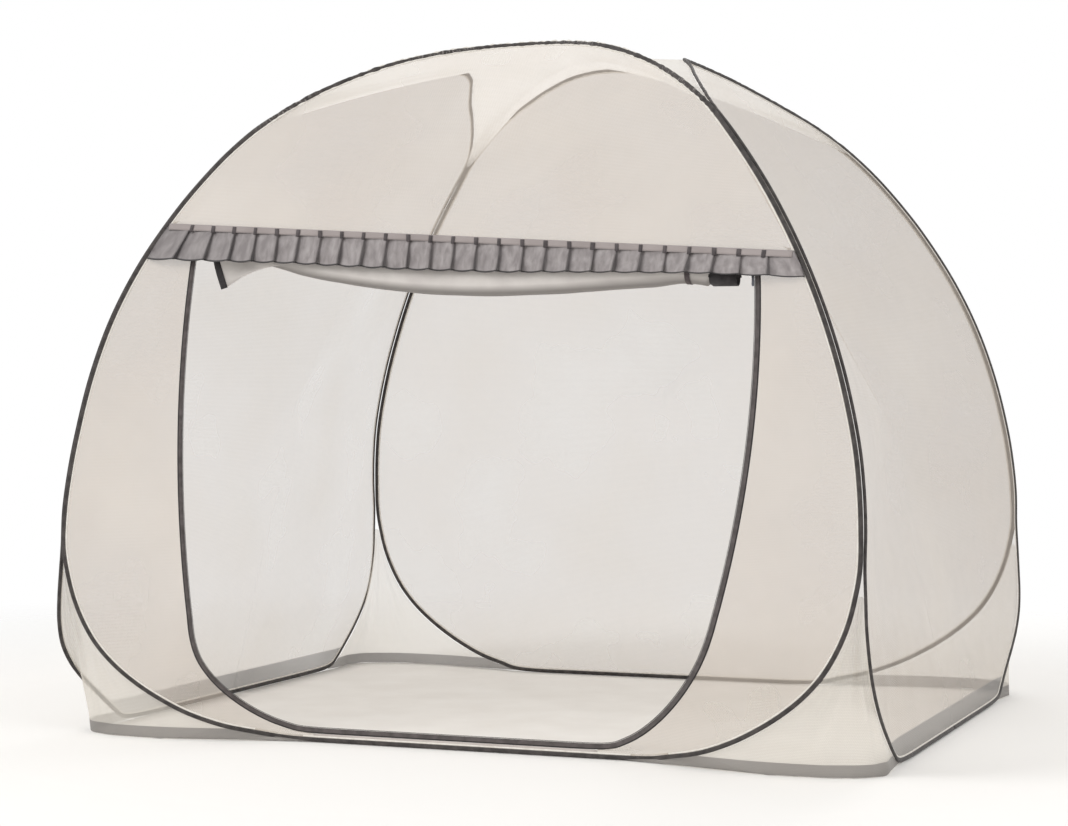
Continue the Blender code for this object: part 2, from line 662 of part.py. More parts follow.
def rolled_door(ends, axis):
    """The door's netting, rolled up inside the header, pinched by two ribbons."""
    along_x, outward = header_frame(ends)
    inward = -outward
    pad = TIE_WIDTH / 2 + 4 * CLEARANCE
    roll_left, roll_right = ends[0][0] + ROLL_INSET_LEFT, ends[1][0] - ROLL_INSET_RIGHT
    tie_left, tie_right = ends[0][0] + TIE_INSET_LEFT, ends[1][0] - TIE_INSET_RIGHT
    inner_x = np.linspace(tie_left + pad, tie_right - pad, 12)
    near = (tie_left + pad + ROLL_PINCH / 2, tie_right - pad - ROLL_PINCH / 2)
    outer_x = (roll_left, (roll_left + tie_left - pad) / 2, tie_left - pad)
    outer_x += (tie_right + pad, (roll_right + tie_right + pad) / 2, roll_right)
    places = sorted([*inner_x, *near, *outer_x])
    rings = []
    for x in places:
        gap = max(min(abs(x - tie_left), abs(x - tie_right)) - pad, 0.0)
        ease = min(gap / ROLL_PINCH, 1.0)
        radius = ROLL_TIED_RADIUS + (ROLL_RADIUS - ROLL_TIED_RADIUS) * ease * ease * (3 - 2 * ease)
        share = (x - tie_left - pad) / (tie_right - tie_left - 2 * pad)
        drop = ROLL_DROP + ROLL_SWAG * math.sin(math.pi * min(max(share, 0.0), 1.0))
        base = header_point(ends, x)
        outline = roll_outline(radius, drop, 0.0, 0.002, 0.002)
        rings.append([base + inward * a + UP * b for a, b in outline])
    size = len(rings[0])
    faces = [tuple(range(size)), tuple(range((len(rings) - 1) * size, len(rings) * size))]
    for i in range(len(rings) - 1):
        for k in range(size):
            m = (k + 1) % size
            faces.append((i * size + k, i * size + m, (i + 1) * size + m, (i + 1) * size + k))
    netting = material("rolled netting", NET_WHITE, 0.8)
    add_object("rolled_door", [p for ring in rings for p in ring], faces, netting, axis)
    ribbon = material("tie ribbon", MAUVE, 0.7)
    for name, x in (("left", tie_left), ("right", tie_right)):
        top = HEADER_FLANGE + CLEARANCE
        inner = roll_outline(ROLL_TIED_RADIUS, ROLL_DROP, CLEARANCE, top, top)
        outer = roll_outline(ROLL_TIED_RADIUS, ROLL_DROP, CLEARANCE + TIE_THICKNESS, top, top)
        rows = [header_point(ends, x) + along_x * s for s in (-TIE_WIDTH / 2, TIE_WIDTH / 2)]
        ring = [*inner, *outer[::-1]]
        verts = [r + inward * a + UP * b for r in rows for a, b in ring]
        count, n = len(inner), len(ring)
        faces = [(k, (k + 1) % n, n + (k + 1) % n, n + k) for k in range(n)]
        for k in range(count - 1):
            quad = (k, k + 1, n - 2 - k, n - 1 - k)
            faces += [quad, tuple(n + i for i in quad)]
        add_object(f"{name}_door_tie", verts, faces, ribbon, axis)


def solid_from_cells(name, cuts, filled, place, mat, axis):
    """A closed solid of the filled cells of a grid; place turns grid points into world points."""
    shape = [len(c) - 1 for c in cuts]
    cells = {c for c in np.ndindex(*shape) if filled(*c)}
    index, verts, faces = {}, [], []
    corner = ((0, 0), (1, 0), (1, 1), (0, 1))
    for cell in sorted(cells):
        for d in range(3):
            for step in (0, 1):
                beside = list(cell)
                beside[d] += 2 * step - 1
                if tuple(beside) in cells:
                    continue
                face = []
                for a, b in corner:
                    at = list(cell)
                    at[d] += step
                    at[(d + 1) % 3] += a
                    at[(d + 2) % 3] += b
                    key = tuple(at)
                    if key not in index:
                        index[key] = len(verts)
                        verts.append(place(*(cuts[k][key[k]] for k in range(3))))
                    face.append(index[key])
                faces.append(tuple(face))
    return add_object(name, verts, faces, mat, axis, smooth=False)


def zip_slider(name, route, parent):
    """A slider round the fixed coil near the top of one side, and its hanging pull tab."""
    arc = route["arc"]
    slide = joint_axis(f"{name}_slider_axis", arc["centre"], parent)
    parked = (ZIP_STOP_DROP + STOP_LENGTH + SLIDER_LENGTH / 2 + 2 * CLEARANCE) / arc["radius"]
    at = turn_about(route["line"][:1], arc["centre"], arc["axis"], parked)[0]
    run = unit(np.cross(arc["axis"], at - arc["centre"]))
    out = turn_about(route["out"][:1], np.zeros(3), arc["axis"], parked)[0]
    face = np.cross(run, out)
    face = face if face[1] < 0 else -face
    middle = -(COIL_WIDTH / 2 + SLIDER_GAP + SLIDER_BRIDGE / 2)
    inside = COIL_HEIGHT / 2 + SLIDER_GAP
    outside = inside + SLIDER_PLATE
    bar = outside + PULL_THICKNESS + 2 * PULL_GAP
    crown = CROWN_LENGTH / 2
    runs = (-SLIDER_LENGTH / 2, -crown, CROWN_BAR - crown, crown - CROWN_BAR, crown, SLIDER_LENGTH / 2)
    right_side = (CROWN_WIDTH / 2, SLIDER_BRIDGE / 2, SLIDER_WIDTH / 2)
    wide = (*(-w for w in right_side[::-1]), *right_side)
    levels = (-outside, -inside, inside, outside, bar, bar + CROWN_BAR)

    def filled(i, j, k):
        if k in (0, 2):
            return True
        if k == 1:
            return 1 <= j <= 3
        return j == 2 and (i in (1, 3) or (k == 4 and i == 2))

    def place(s, w, h):
        narrowing = (1 - SLIDER_TAIL) * max(s, 0.0) / (SLIDER_LENGTH / 2)
        taper = 1 - narrowing if abs(w) > SLIDER_BRIDGE / 2 else 1.0
        return at + run * s + out * (middle + w * taper) + face * h

    metal = material("plated zinc", STEEL, 0.35, 1.0)
    solid_from_cells(f"{name}_zip_slider", (runs, wide, levels), filled, place, metal, slide)
    pivot = at + out * middle + face * (outside + PULL_GAP + PULL_THICKNESS / 2)
    swing = joint_axis(f"{name}_pull_axis", pivot, slide)
    half = PULL_THICKNESS / 2
    lengths = (-half, half, half + PULL_WINDOW, 0.5 * PULL_LENGTH, 0.85 * PULL_LENGTH, PULL_LENGTH - half)
    widths = (1.0, 1.0, 1.0, 0.72, 1.0, 0.62)
    cross = (-PULL_WIDTH / 2, PULL_RAIL - PULL_WIDTH / 2, PULL_WIDTH / 2 - PULL_RAIL, PULL_WIDTH / 2)

    def tab_filled(i, j, _):
        return not (i == 1 and j == 1)

    def tab_place(s, w, h):
        return pivot + run * s + out * w * widths[lengths.index(s)] + face * h

    cuts = (lengths, cross, (-half, half))
    solid_from_cells(f"{name}_pull_tab", cuts, tab_filled, tab_place, metal, swing)
    return slide, swing


def roof_cloth(loops):
    """Slightly domed roof inside the tops of the four loops."""
    front, right, back, left = loops
    top = list(range(-RIB_TOP_AT, RIB_TOP_AT + 1))
    runs = ((front, top), (right, top[::-1]), (back, top[::-1]), (left, top))
    middle = np.array((0.0, 0.0, TIP_TOP[2]))
    ring = []
    for loop, order in runs:
        t = tangents(loop)[order]
        points = loop[order]
        ring.append(points + across(middle - points, t) * (TAPE_REACH + 3 * CLEARANCE))
    ring = np.vstack(ring)
    rows = 4
    grid = stretched_net(ring, rows)
    for k in range(rows):
        grid[k] += UP * ROOF_RISE * math.sin(math.pi / 2 * k / rows)
    cloth = material("roof cloth", ROOF_WHITE, 0.75)
    solid_sheet("roof_cloth", grid, cloth, NET_THICKNESS, True)


def corner_gusset(front, right):
    """Rows of the netting between the feet of two loops, from the split of the rib down."""
    first, last = VEE_AT + 1, RUN_END - 2
    tf, ts = tangents(front), tangents(right)
    foot = np.array((*BASE_CORNER, BASE_THICKNESS + 2 * CLEARANCE))
    head = (front[VEE_AT] + right[VEE_AT]) / 2
    rows = []
    for i in range(first, last + 1):
        share = (i - VEE_AT) / (last - VEE_AT)
        m = head + (foot - head) * share
        reach = TAPE_REACH + 3 * CLEARANCE + NET_THICKNESS / 2
        a = front[i] + across(m - front[i], tf[i]) * reach
        b = right[i] + across(m - right[i], ts[i]) * reach
        m = m if share > 0.4 else (a + b) / 2 + (m - (a + b) / 2) * share / 0.4
        control = 2 * m - (a + b) / 2
        row = [(1 - t) ** 2 * a + 2 * t * (1 - t) * control + t**2 * b for t in np.linspace(0, 1, 7)]
        if i == last:
            for p in row[1:-1]:
                p[2] = foot[2]
        rows.append(np.array(row))
    return rows


def base_sheet(front, right, corner):
    """Thin ground sheet inside the runs of the loops and out to the gussets' lower edges."""
    off = TAPE_OUTER + 2 * CLEARANCE
    quarter = []
    for i in (RUN_END, RUN_END - 1):
        quarter.append((front[i][0], front[i][1] + off))
    quarter += [(p[0], p[1]) for p in corner[-1][1:-1]]
    for i in (RUN_END - 1, RUN_END):
        quarter.append((right[i][0] - off, right[i][1]))
    outline = []
    for sx, sy, flip in ((1, 1, 1), (1, -1, -1), (-1, -1, 1), (-1, 1, -1)):
        outline += [(sx * x, sy * y) for x, y in quarter[::flip]]
    n = len(outline)
    verts = [(x, y, z) for z in (0.0, BASE_THICKNESS) for x, y in outline]
    faces = [tuple(range(n)), tuple(range(n, 2 * n))]
    faces += [(k, (k + 1) % n, n + (k + 1) % n, n + k) for k in range(n)]
    cloth = material("base sheet cloth", MAUVE, 0.85)
    add_object("base_sheet", verts, faces, cloth, smooth=False)


def main():
    clear_scene()
    fold_front = joint_axis("front_fold_axis", (0, 0, FOLD_AXIS_HEIGHT))
    fold_back = joint_axis("back_fold_axis", (0, 0, FOLD_AXIS_HEIGHT))
    front, right = front_and_right_loops()
    back, left = front * MIRROR_Y, right * MIRROR_X
    make_wire("front", front, fold_front)
    make_wire("back", back, fold_back)
    make_wire("right", right)
    make_wire("left", left)
    plain_wall("back", back, 4, fold_back)
    plain_wall("right", right, 4)
    plain_wall("left", left, 4)
    ends, routes = front_wall(front, fold_front)
    zip_fixed_half(routes, fold_front)
    header_and_valance(ends, fold_front)
    rolled_door(ends, fold_front)
    for sign, name in ((-1, "left"), (1, "right")):
        zip_slider(name, routes[sign], fold_front)
    roof_cloth((front, right, back, left))
    rows = corner_gusset(front, right)
    netting = material("mosquito netting", NET_WHITE, 0.8)
    corners = (("front_right", 1, 1), ("back_right", 1, -1), ("back_left", -1, -1), ("front_left", -1, 1))
    for name, sx, sy in corners:
        flipped = [r * (sx, sy, 1) for r in rows]
        solid_sheet(name + "_gusset", flipped, netting, NET_THICKNESS)
    base_sheet(front, right, rows)


main()
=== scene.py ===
# %% [markdown]
# # Folding mosquito net
# This lesson dresses a dome net: four sprung loops in charcoal tape, sheer netting, a white
# roof cloth, a pleated valance and a door that is rolled up above a U-shaped zip. The packed
# parts give every size and every joint. They come first and are never moved: each piece made
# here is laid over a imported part, or stands for it.

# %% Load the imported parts
import math

import bmesh
import bpy
import numpy as np
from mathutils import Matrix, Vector


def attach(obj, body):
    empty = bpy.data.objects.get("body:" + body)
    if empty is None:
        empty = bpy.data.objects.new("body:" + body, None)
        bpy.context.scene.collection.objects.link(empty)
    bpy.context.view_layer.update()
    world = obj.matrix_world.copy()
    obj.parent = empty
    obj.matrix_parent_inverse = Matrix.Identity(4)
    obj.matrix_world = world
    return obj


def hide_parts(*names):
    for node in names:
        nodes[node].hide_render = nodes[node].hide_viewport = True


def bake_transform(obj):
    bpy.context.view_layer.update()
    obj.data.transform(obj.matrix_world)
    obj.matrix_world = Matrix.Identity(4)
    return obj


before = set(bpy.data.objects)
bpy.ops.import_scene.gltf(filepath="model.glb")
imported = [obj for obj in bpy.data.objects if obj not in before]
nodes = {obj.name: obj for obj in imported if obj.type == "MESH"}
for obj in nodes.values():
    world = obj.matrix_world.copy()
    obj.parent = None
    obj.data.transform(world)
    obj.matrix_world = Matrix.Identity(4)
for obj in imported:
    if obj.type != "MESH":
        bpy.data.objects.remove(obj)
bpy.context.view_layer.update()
scene = bpy.context.scene

# %% [markdown]
# ## Small tools
# Colours are written as the sRGB hex codes of a paint card, while a shader counts in linear
# light, so one function turns them. Another adds a shader or geometry node with its
# properties and its inputs, where an input may be a number or another node's output.

# %% Colour, node and vector tools
def linear(code):
    """An sRGB hex colour as linear red, green, blue and alpha."""
    parts = [int(code[i : i + 2], 16) / 255 for i in (1, 3, 5)]
    return (*[c / 12.92 if c <= 0.04045 else ((c + 0.055) / 1.055) ** 2.4 for c in parts], 1.0)


def add(tree, kind, inputs=None, out=0, **settings):
    """Adds a node with its properties and its inputs, as values or links, and gives an output."""
    node = tree.nodes.new(kind if "Node" in kind else "ShaderNode" + kind)
    for key, value in settings.items():
        setattr(node, key, value)
    for key, value in (inputs or {}).items():
        if isinstance(value, bpy.types.NodeSocket):
            tree.links.new(value, node.inputs[key])
        else:
            node.inputs[key].default_value = value
    return node.outputs[out] if len(node.outputs) else None


def start(name):
    """A new material, its empty tree and the object's own coordinates in it."""
    made = bpy.data.materials.new(name)
    made.use_nodes = True
    tree = made.node_tree
    tree.nodes.clear()
    return made, tree, add(tree, "TexCoord", out="Object")


def ended(made, shader):
    add(made.node_tree, "OutputMaterial", {"Surface": shader})
    return made


def linked(name, data):
    made = bpy.data.objects.new(name, data)
    scene.collection.objects.link(made)
    return made


def unit(v):
    return v / np.linalg.norm(v, axis=-1, keepdims=True)


def across(v, t):
    """The part of v that is square to the unit vector t, as a unit vector."""
    return unit(v - (v * t).sum(-1, keepdims=True) * t)


def gaps(points):
    """The distance from each point to the next, and from the last to the first."""
    return np.linalg.norm(np.roll(points, -1, axis=0) - points, axis=1)


def tangents(points, closed=True):
    if closed:
        return unit(np.roll(points, -1, axis=0) - np.roll(points, 1, axis=0))
    return unit(np.gradient(points, axis=0))


# %% [markdown]
# ## Camera, floor and light
# The camera stands where the photograph was taken: a little over six metres away, low, and
# round to the right, with a lens of about 83 mm. A plain studio would be a curved paper
# sweep, but its horizon would show through the sheer walls. So the floor is a disc of white
# paper that fades out into a white surround, and it still takes the net's soft shadow.

# %% Camera
CAMERA_AT, CAMERA_AIM = (2.216, -5.985, 0.862), (-0.1116, 0.0, 0.7726)
FOCAL_PIXELS, PICTURE_PIXELS, SENSOR_MM = 2462.3, 1068, 36.0


def placed(name, data, at, toward):
    """A camera or a light at one point, aimed at another."""
    made = linked(name, data)
    made.location = at
    made.rotation_euler = (Vector(toward) - Vector(at)).to_track_quat("-Z", "Y").to_euler()
    return made


lens = bpy.data.cameras.new("camera")
lens.sensor_width = SENSOR_MM
lens.lens = FOCAL_PIXELS / PICTURE_PIXELS * SENSOR_MM
scene.camera = placed("camera", lens, CAMERA_AT, CAMERA_AIM)
print("lens mm", round(lens.lens, 1), "distance m", round(math.dist(CAMERA_AT, CAMERA_AIM), 2))

# %% Floor, surround and lights
FLOOR_RADIUS, FLOOR_DOWN, FADE_FROM, FADE_TO = 4.0, 0.0005, 1.6, 3.7
LIGHTS_AIM = (0, 0, 0.8)
LIGHTS = (  # name, place, size in metres, power in watts
    ("window_light", (-3.4, -4.6, 4.6), 3.6, 210.0),
    ("fill_light", (4.4, -3.4, 2.8), 3.2, 80.0),
    ("back_light", (0.5, 4.6, 3.8), 3.6, 90.0),
)


def white_paper():
    """Matt white paper that fades out before its rim."""
    made, tree, place = start("matt white paper")
    reach = add(tree, "VectorMath", {0: place}, "Value", operation="LENGTH")
    fade = add(tree, "MapRange", {0: reach, 1: FADE_FROM, 2: FADE_TO, 3: 1.0, 4: 0.0})
    paper = add(tree, "BsdfPrincipled", {"Base Color": linear("#F7F6F4"), "Roughness": 0.9})
    clear = add(tree, "BsdfTransparent")
    return ended(made, add(tree, "MixShader", {0: fade, 1: clear, 2: paper}))


bpy.ops.mesh.primitive_circle_add(vertices=96, radius=FLOOR_RADIUS, fill_type="NGON",
                                  location=(0, 0, -FLOOR_DOWN))
floor = bpy.context.object
floor.name = "studio_floor"
floor.data.materials.append(white_paper())

world = bpy.data.worlds.new("white surround")
scene.world = world
world.use_nodes = True
sky = world.node_tree
sky.nodes.clear()
rays = add(sky, "LightPath").node.outputs
seen = rays["Is Camera Ray"]
for kind in ("Is Glossy Ray", "Is Transmission Ray"):
    seen = add(sky, "Math", {0: seen, 1: rays[kind]}, operation="MAXIMUM")
dim = add(sky, "Background", {"Color": (1.0, 0.985, 0.965, 1.0), "Strength": 0.62})
white = add(sky, "Background", {"Color": (1.0, 1.0, 1.0, 1.0), "Strength": 1.0})
add(sky, "OutputWorld", {"Surface": add(sky, "MixShader", {0: seen, 1: dim, 2: white})})

for name, place, size, power in LIGHTS:
    light = bpy.data.lights.new(name, "AREA")
    light.size = size
    light.energy = power
    placed(name, light, place, LIGHTS_AIM)
scene.view_settings.view_transform = "Standard"

# %% [markdown]
# ## The line of each loop
# Every loop is a closed wire: over the top of the dome, down two ribs, out into two feet and
# straight along the ground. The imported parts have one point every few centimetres. The same
# named points are used again here, and a smooth curve is read through them at finer steps.
# A sprung wire has no sharp corner, so the bends at its feet and the tips of the side loops
# are eased by moving each fine station towards its neighbours.

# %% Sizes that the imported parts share
WIRE_RADIUS = 0.00175
SLEEVE_WALL = 0.0005
CLEARANCE = 0.0003
TAPE_THICKNESS = 0.0010
TAPE_LIP = 0.0100
TAPE_CORNER = 0.45
NET_THICKNESS = 0.0008
NET_TUCK = 0.0040
NET_FACE = NET_THICKNESS / 2 + CLEARANCE
BASE_THICKNESS = 0.0010
VEE = (0.980, -0.890, 0.455)
RIB_LOW = (0.960, -0.860, 0.720)
RIB_MIDDLE = (0.880, -0.830, 1.000)
RIB_HIGH = (0.750, -0.760, 1.250)
RIB_TOP = (0.565, -0.635, 1.480)
RIB = (VEE, RIB_LOW, RIB_MIDDLE, RIB_HIGH, RIB_TOP)
ARCH = ((0.000, -0.275, 1.690), (0.300, -0.450, 1.635))
TIP = ((0.310, 0.000, 1.665), (0.400, -0.260, 1.615))
FRONT_LEG = ((0.890, -0.885, 0.220), (0.670, -0.835, 0.060), (0.400, -0.740, 0.000))
SIDE_LEG = ((0.995, -0.870, 0.220), (0.990, -0.685, 0.060), (0.990, -0.560, 0.000))
BASE_CORNER = (0.925, -0.805)
DOWN_STEPS = (3, 3, 3, 2, 2, 3, 4, 4, 3)
RIB_TOP_AT, VEE_AT, RUN_END = 6, 16, 27
UP = np.array([0.0, 0.0, 1.0])
MIRROR_X = np.array([-1.0, 1.0, 1.0])
MIRROR_Y = np.array([1.0, -1.0, 1.0])
TAPE_OUTER = WIRE_RADIUS + SLEEVE_WALL + 4 * CLEARANCE + TAPE_THICKNESS
TAPE_REACH = TAPE_OUTER * math.hypot(1, TAPE_CORNER)
RIB_PITCH = 2 * TAPE_REACH + CLEARANCE
TUCK_REACH, OUT_REACH = TAPE_LIP - NET_TUCK, TAPE_LIP + NET_TUCK
NET_ROWS = 4


# %% Smooth curves through points
def curve_weights(points, steps, closed=True, straight=()):
    """For each station of a centripetal Catmull-Rom curve, which points it reads and how much."""
    points = np.array(points, float)
    count = len(points)
    if not closed:
        points = np.vstack([2 * points[0] - points[1], points, 2 * points[-1] - points[-2]])
        straight = [i + 1 for i in straight]
    gap = gaps(points) ** 0.5
    size = len(points)
    picks, shares = [], []
    for i in range(size) if closed else range(1, count):
        at = [(i + k) % size for k in (-1, 0, 1, 2)]
        d0, d1, d2 = gap[at[0]], gap[at[1]], gap[at[2]]
        m1 = d1 * np.array((1 / (d0 + d1) - 1 / d0, 1 / d0 - 1 / d1, 1 / d1 - 1 / (d0 + d1), 0))
        m2 = d1 * np.array((0, 1 / (d1 + d2) - 1 / d1, 1 / d1 - 1 / d2, 1 / d2 - 1 / (d1 + d2)))
        if at[0] in straight:
            m1 = np.array((-1, 1, 0, 0)) * d1 / d0
        if at[2] in straight:
            m2 = np.array((0, 0, -1, 1)) * d1 / d2
        n = steps[i if closed else i - 1] if hasattr(steps, "__len__") else steps
        for k in range(n):
            t = k / n
            w = np.array((0, 1 - t, t, 0))
            if i not in straight:
                w = (t**3 - 2 * t**2 + t) * m1 + (t**3 - t**2) * m2
                w = w + np.array((0, 2 * t**3 - 3 * t**2 + 1, 3 * t**2 - 2 * t**3, 0))
            picks.append(at)
            shares.append(w)
    if not closed:
        picks.append([size - 3, size - 2, size - 1, size - 1])
        shares.append(np.array((0, 1.0, 0, 0)))
    return np.array(picks), np.array(shares), closed


def read(weights, values):
    """Values held at the points of a curve, read off at its stations."""
    picks, shares, closed = weights
    values = np.array(values, float)
    if not closed:
        before, after = 2 * values[0] - values[1], 2 * values[-1] - values[-2]
        values = np.concatenate([[before], values, [after]])
    return (values[picks] * shares.reshape(*shares.shape, *[1] * (values.ndim - 1))).sum(1)


def eased(weights, points, corners, reach, passes):
    """The same stations with some corners eased, as a wire or a tape bends in a curve."""
    picks, shares, closed = weights
    every = np.zeros((len(picks), len(points) + (0 if closed else 2)))
    np.add.at(every, (np.arange(len(picks))[:, None], picks), shares)
    line = read(weights, points)
    gap = np.min([np.linalg.norm(line - points[i], axis=1) for i in corners], axis=0)
    near = np.clip(1 - gap / reach, 0, 1)[:, None] ** 0.5
    for _ in range(passes):
        beside = (np.roll(every, 1, axis=0) + np.roll(every, -1, axis=0)) / 2
        every = every + near * (beside - every)
    return np.tile(np.arange(every.shape[1]), (len(picks), 1)), every, closed


def loop_stations(top, leg, flip):
    """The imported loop: over its top, down one rib and leg, along the ground, up again."""
    half = [*top, *RIB[::-1], *leg]
    points = [*half, *[np.array(p) * flip for p in half[:0:-1]]]
    stations = read(curve_weights(points, (*DOWN_STEPS, 1, *DOWN_STEPS[::-1])), points)
    stations[:, 2] += TAPE_OUTER
    return stations


def front_and_right_loops():
    """The two loops that share the front right rib, with their wires side by side along it."""
    front, right = loop_stations(ARCH, FRONT_LEG, MIRROR_X), loop_stations(TIP, SIDE_LEG, MIRROR_Y)
    middle = (front + right) / 2
    t = tangents(middle)
    apart = across(np.tile((-1.0, -1.0, 0.0), (len(t), 1)), t) * RIB_PITCH / 2
    for i in range(RIB_TOP_AT - 1, VEE_AT + 2):
        if RIB_TOP_AT <= i <= VEE_AT:
            front[i], right[i] = middle[i] + apart[i], middle[i] - apart[i]
        else:
            front[i], right[i] = front[i] + apart[i] / 2, right[i] - apart[i] / 2
        front[-i] = front[i] * MIRROR_X
        right[-i] = right[i] * MIRROR_Y
    return front, right


front_loop, right_loop = front_and_right_loops()
LOOPS = {"front": front_loop, "right": right_loop,
         "back": front_loop * MIRROR_Y, "left": right_loop * MIRROR_X}
STEPS_EACH, STEPS_ON_RUN = 8, 60
FINE_STEPS = [STEPS_EACH] * len(front_loop)
FINE_STEPS[RUN_END] = STEPS_ON_RUN
FOOT_REACH, FOOT_PASSES = 0.20, {"front": 6, "back": 6, "left": 18, "right": 18}
TIP_REACH, TIP_PASSES = 0.10, 5


def loop_weights(key, steps):
    """Fine stations of a loop, with the bends of its feet and of a side loop's tip eased."""
    weights = curve_weights(LOOPS[key], steps, straight=(RUN_END,))
    if key in ("left", "right"):
        weights = eased(weights, LOOPS[key], (0,), TIP_REACH, TIP_PASSES)
    return eased(weights, LOOPS[key], (RUN_END, RUN_END + 1), FOOT_REACH, FOOT_PASSES[key])


FINE = {k: loop_weights(k, FINE_STEPS) for k in LOOPS}
LINES = {k: read(FINE[k], p) for k, p in LOOPS.items()}
for key, line in LINES.items():
    print(key, "wire length m", round(gaps(line).sum(), 3))

# %% [markdown]
# ## Where the front wall turns
# The front is a net with a doorway. A straight header crosses it, and a zip runs from under
# the header down one side, along the sill and up the other. Each tape's lips lean towards
# what they hold, so the header's line and the zip's line are worked out before the tape.

# %% Header and zip lines
HEADER_HEIGHTS = {-1: 1.235, 1: 1.140}
HEADER_TAPE_WIDTH, HEADER_FLANGE, HEADER_INSET = 0.015, 0.012, 0.0160
ZIP_INSETS = {-1: 0.0738, 1: 0.0833}
ZIP_MIDDLES = {-1: (-0.676, -0.845, 0.622), 1: (0.709, -0.831, 0.749)}
ZIP_LOWS = {-1: (-0.636, -0.861, 0.249), 1: (0.624, -0.863, 0.297)}
ZIP_FEET = {-1: -0.385, 1: 0.330}
ZIP_BEND_PULL = 0.110
ZIP_STEPS, ZIP_BEND_STEPS = 16, 7
ZIP_TOP_GAP = 0.0030
ZIP_TAPE_WIDTH = 0.013
COIL_WIDTH, COIL_HEIGHT = 0.0024, 0.0022
SILL_SHOW = 0.0060
ZIP_REACH = COIL_WIDTH / 2 + CLEARANCE + ZIP_TAPE_WIDTH
SILL_HEIGHT = TAPE_OUTER + TAPE_LIP + SILL_SHOW + CLEARANCE + ZIP_REACH
ZIP_TOPS = {s: h - HEADER_FLANGE - ZIP_TOP_GAP for s, h in HEADER_HEIGHTS.items()}
RUN_Y = FRONT_LEG[2][1]


def arc_through(p0, p1, p2):
    """Centre, axis, radius and angle of the circular arc through three points."""
    p0, p1, p2 = (np.array(p, float) for p in (p0, p1, p2))
    a, b = p1 - p0, p2 - p0
    n = np.cross(a, b)
    centre = p0 + (np.cross(n, a) * b.dot(b) + np.cross(b, n) * a.dot(a)) / (2 * n.dot(n))
    axis, radial, end = unit(n), unit(p0 - centre), unit(p2 - centre)
    angle = math.atan2(end @ np.cross(axis, radial), end @ radial)
    return {"centre": centre, "axis": axis, "radius": np.linalg.norm(p0 - centre), "angle": angle}


def turn_about(point, centre, axis, angle):
    rel = point - centre
    lengthwise = (rel @ axis) * axis
    return (centre + lengthwise + (rel - lengthwise) * math.cos(angle)
            + np.cross(axis, rel) * math.sin(angle))


def walk(points):
    """Fractions of the length of a line at each of its points."""
    run = np.concatenate([[0.0], np.cumsum(gaps(points)[:-1])])
    return run / run[-1]


def along(values, points, fractions):
    where = walk(points)
    return np.stack([np.interp(fractions, where, v) for v in values.T], 1)


def at_height(points, values, height):
    """A falling line's point at a height, and the values held along the line there."""
    return np.stack([np.interp(-np.asarray(height), -points[:, 2], v)
                     for v in (*points.T, *values.T)], -1)


def cut_at(points, values, height, above):
    """The part of a falling line above or below a height, and the values held along it."""
    up = 1 if above else -1
    keep, end = (points[:, 2] - height) * up > 1e-6, at_height(points, values, height)
    return tuple(np.vstack([part[keep], cut][::up])
                 for part, cut in ((points, end[:3]), (values, end[3:])))


def header_point(x, drop=0.0):
    """A point of the straight header line at x, lowered by drop."""
    share = (x - header_ends[0][0]) / (header_ends[1][0] - header_ends[0][0])
    return header_ends[0] + (header_ends[1] - header_ends[0]) * share - UP * drop


def bezier(points, t):
    shares = ((1 - t) ** 3, 3 * (1 - t) ** 2 * t, 3 * (1 - t) * t**2, t**3)
    return sum(share * point for share, point in zip(shares, points))


def zip_route(sign, leg_edge):
    """The coil's line, and the way from it to the net: a true arc, then the bend to the sill."""
    top_x = header_ends[max(sign, 0)][0] - sign * ZIP_INSETS[sign]
    top = header_point(top_x, HEADER_FLANGE + ZIP_TOP_GAP)
    arc = arc_through(top, ZIP_MIDDLES[sign], ZIP_LOWS[sign])
    angles = np.linspace(0.0, arc["angle"], ZIP_STEPS + 1)
    line = [turn_about(top, arc["centre"], arc["axis"], a) for a in angles]
    run = np.cross(arc["axis"], line[-1] - arc["centre"]) / arc["radius"]
    foot = np.array((ZIP_FEET[sign], RUN_Y, SILL_HEIGHT))
    bend = (line[-1], line[-1] + run * ZIP_BEND_PULL, foot + (sign * ZIP_BEND_PULL, 0, 0), foot)
    line += [bezier(bend, k / ZIP_BEND_STEPS) for k in range(1, ZIP_BEND_STEPS + 1)]
    line = np.array(line)
    t = tangents(line, False)
    t[-1] = (-sign, 0.0, 0.0)
    toward = across(along(leg_edge, leg_edge, walk(line)) - line, t)
    out = np.array(toward)
    for k in range(ZIP_STEPS):
        out[k] = turn_about(toward[ZIP_STEPS], np.zeros(3), arc["axis"], angles[k] - angles[-1])
    for k in range(ZIP_STEPS, len(line)):
        share = (k - ZIP_STEPS) / ZIP_BEND_STEPS
        out[k] = unit(toward[ZIP_STEPS] * (1 - share) - UP * share)
    return {"line": line, "out": across(out, t), "arc": arc}


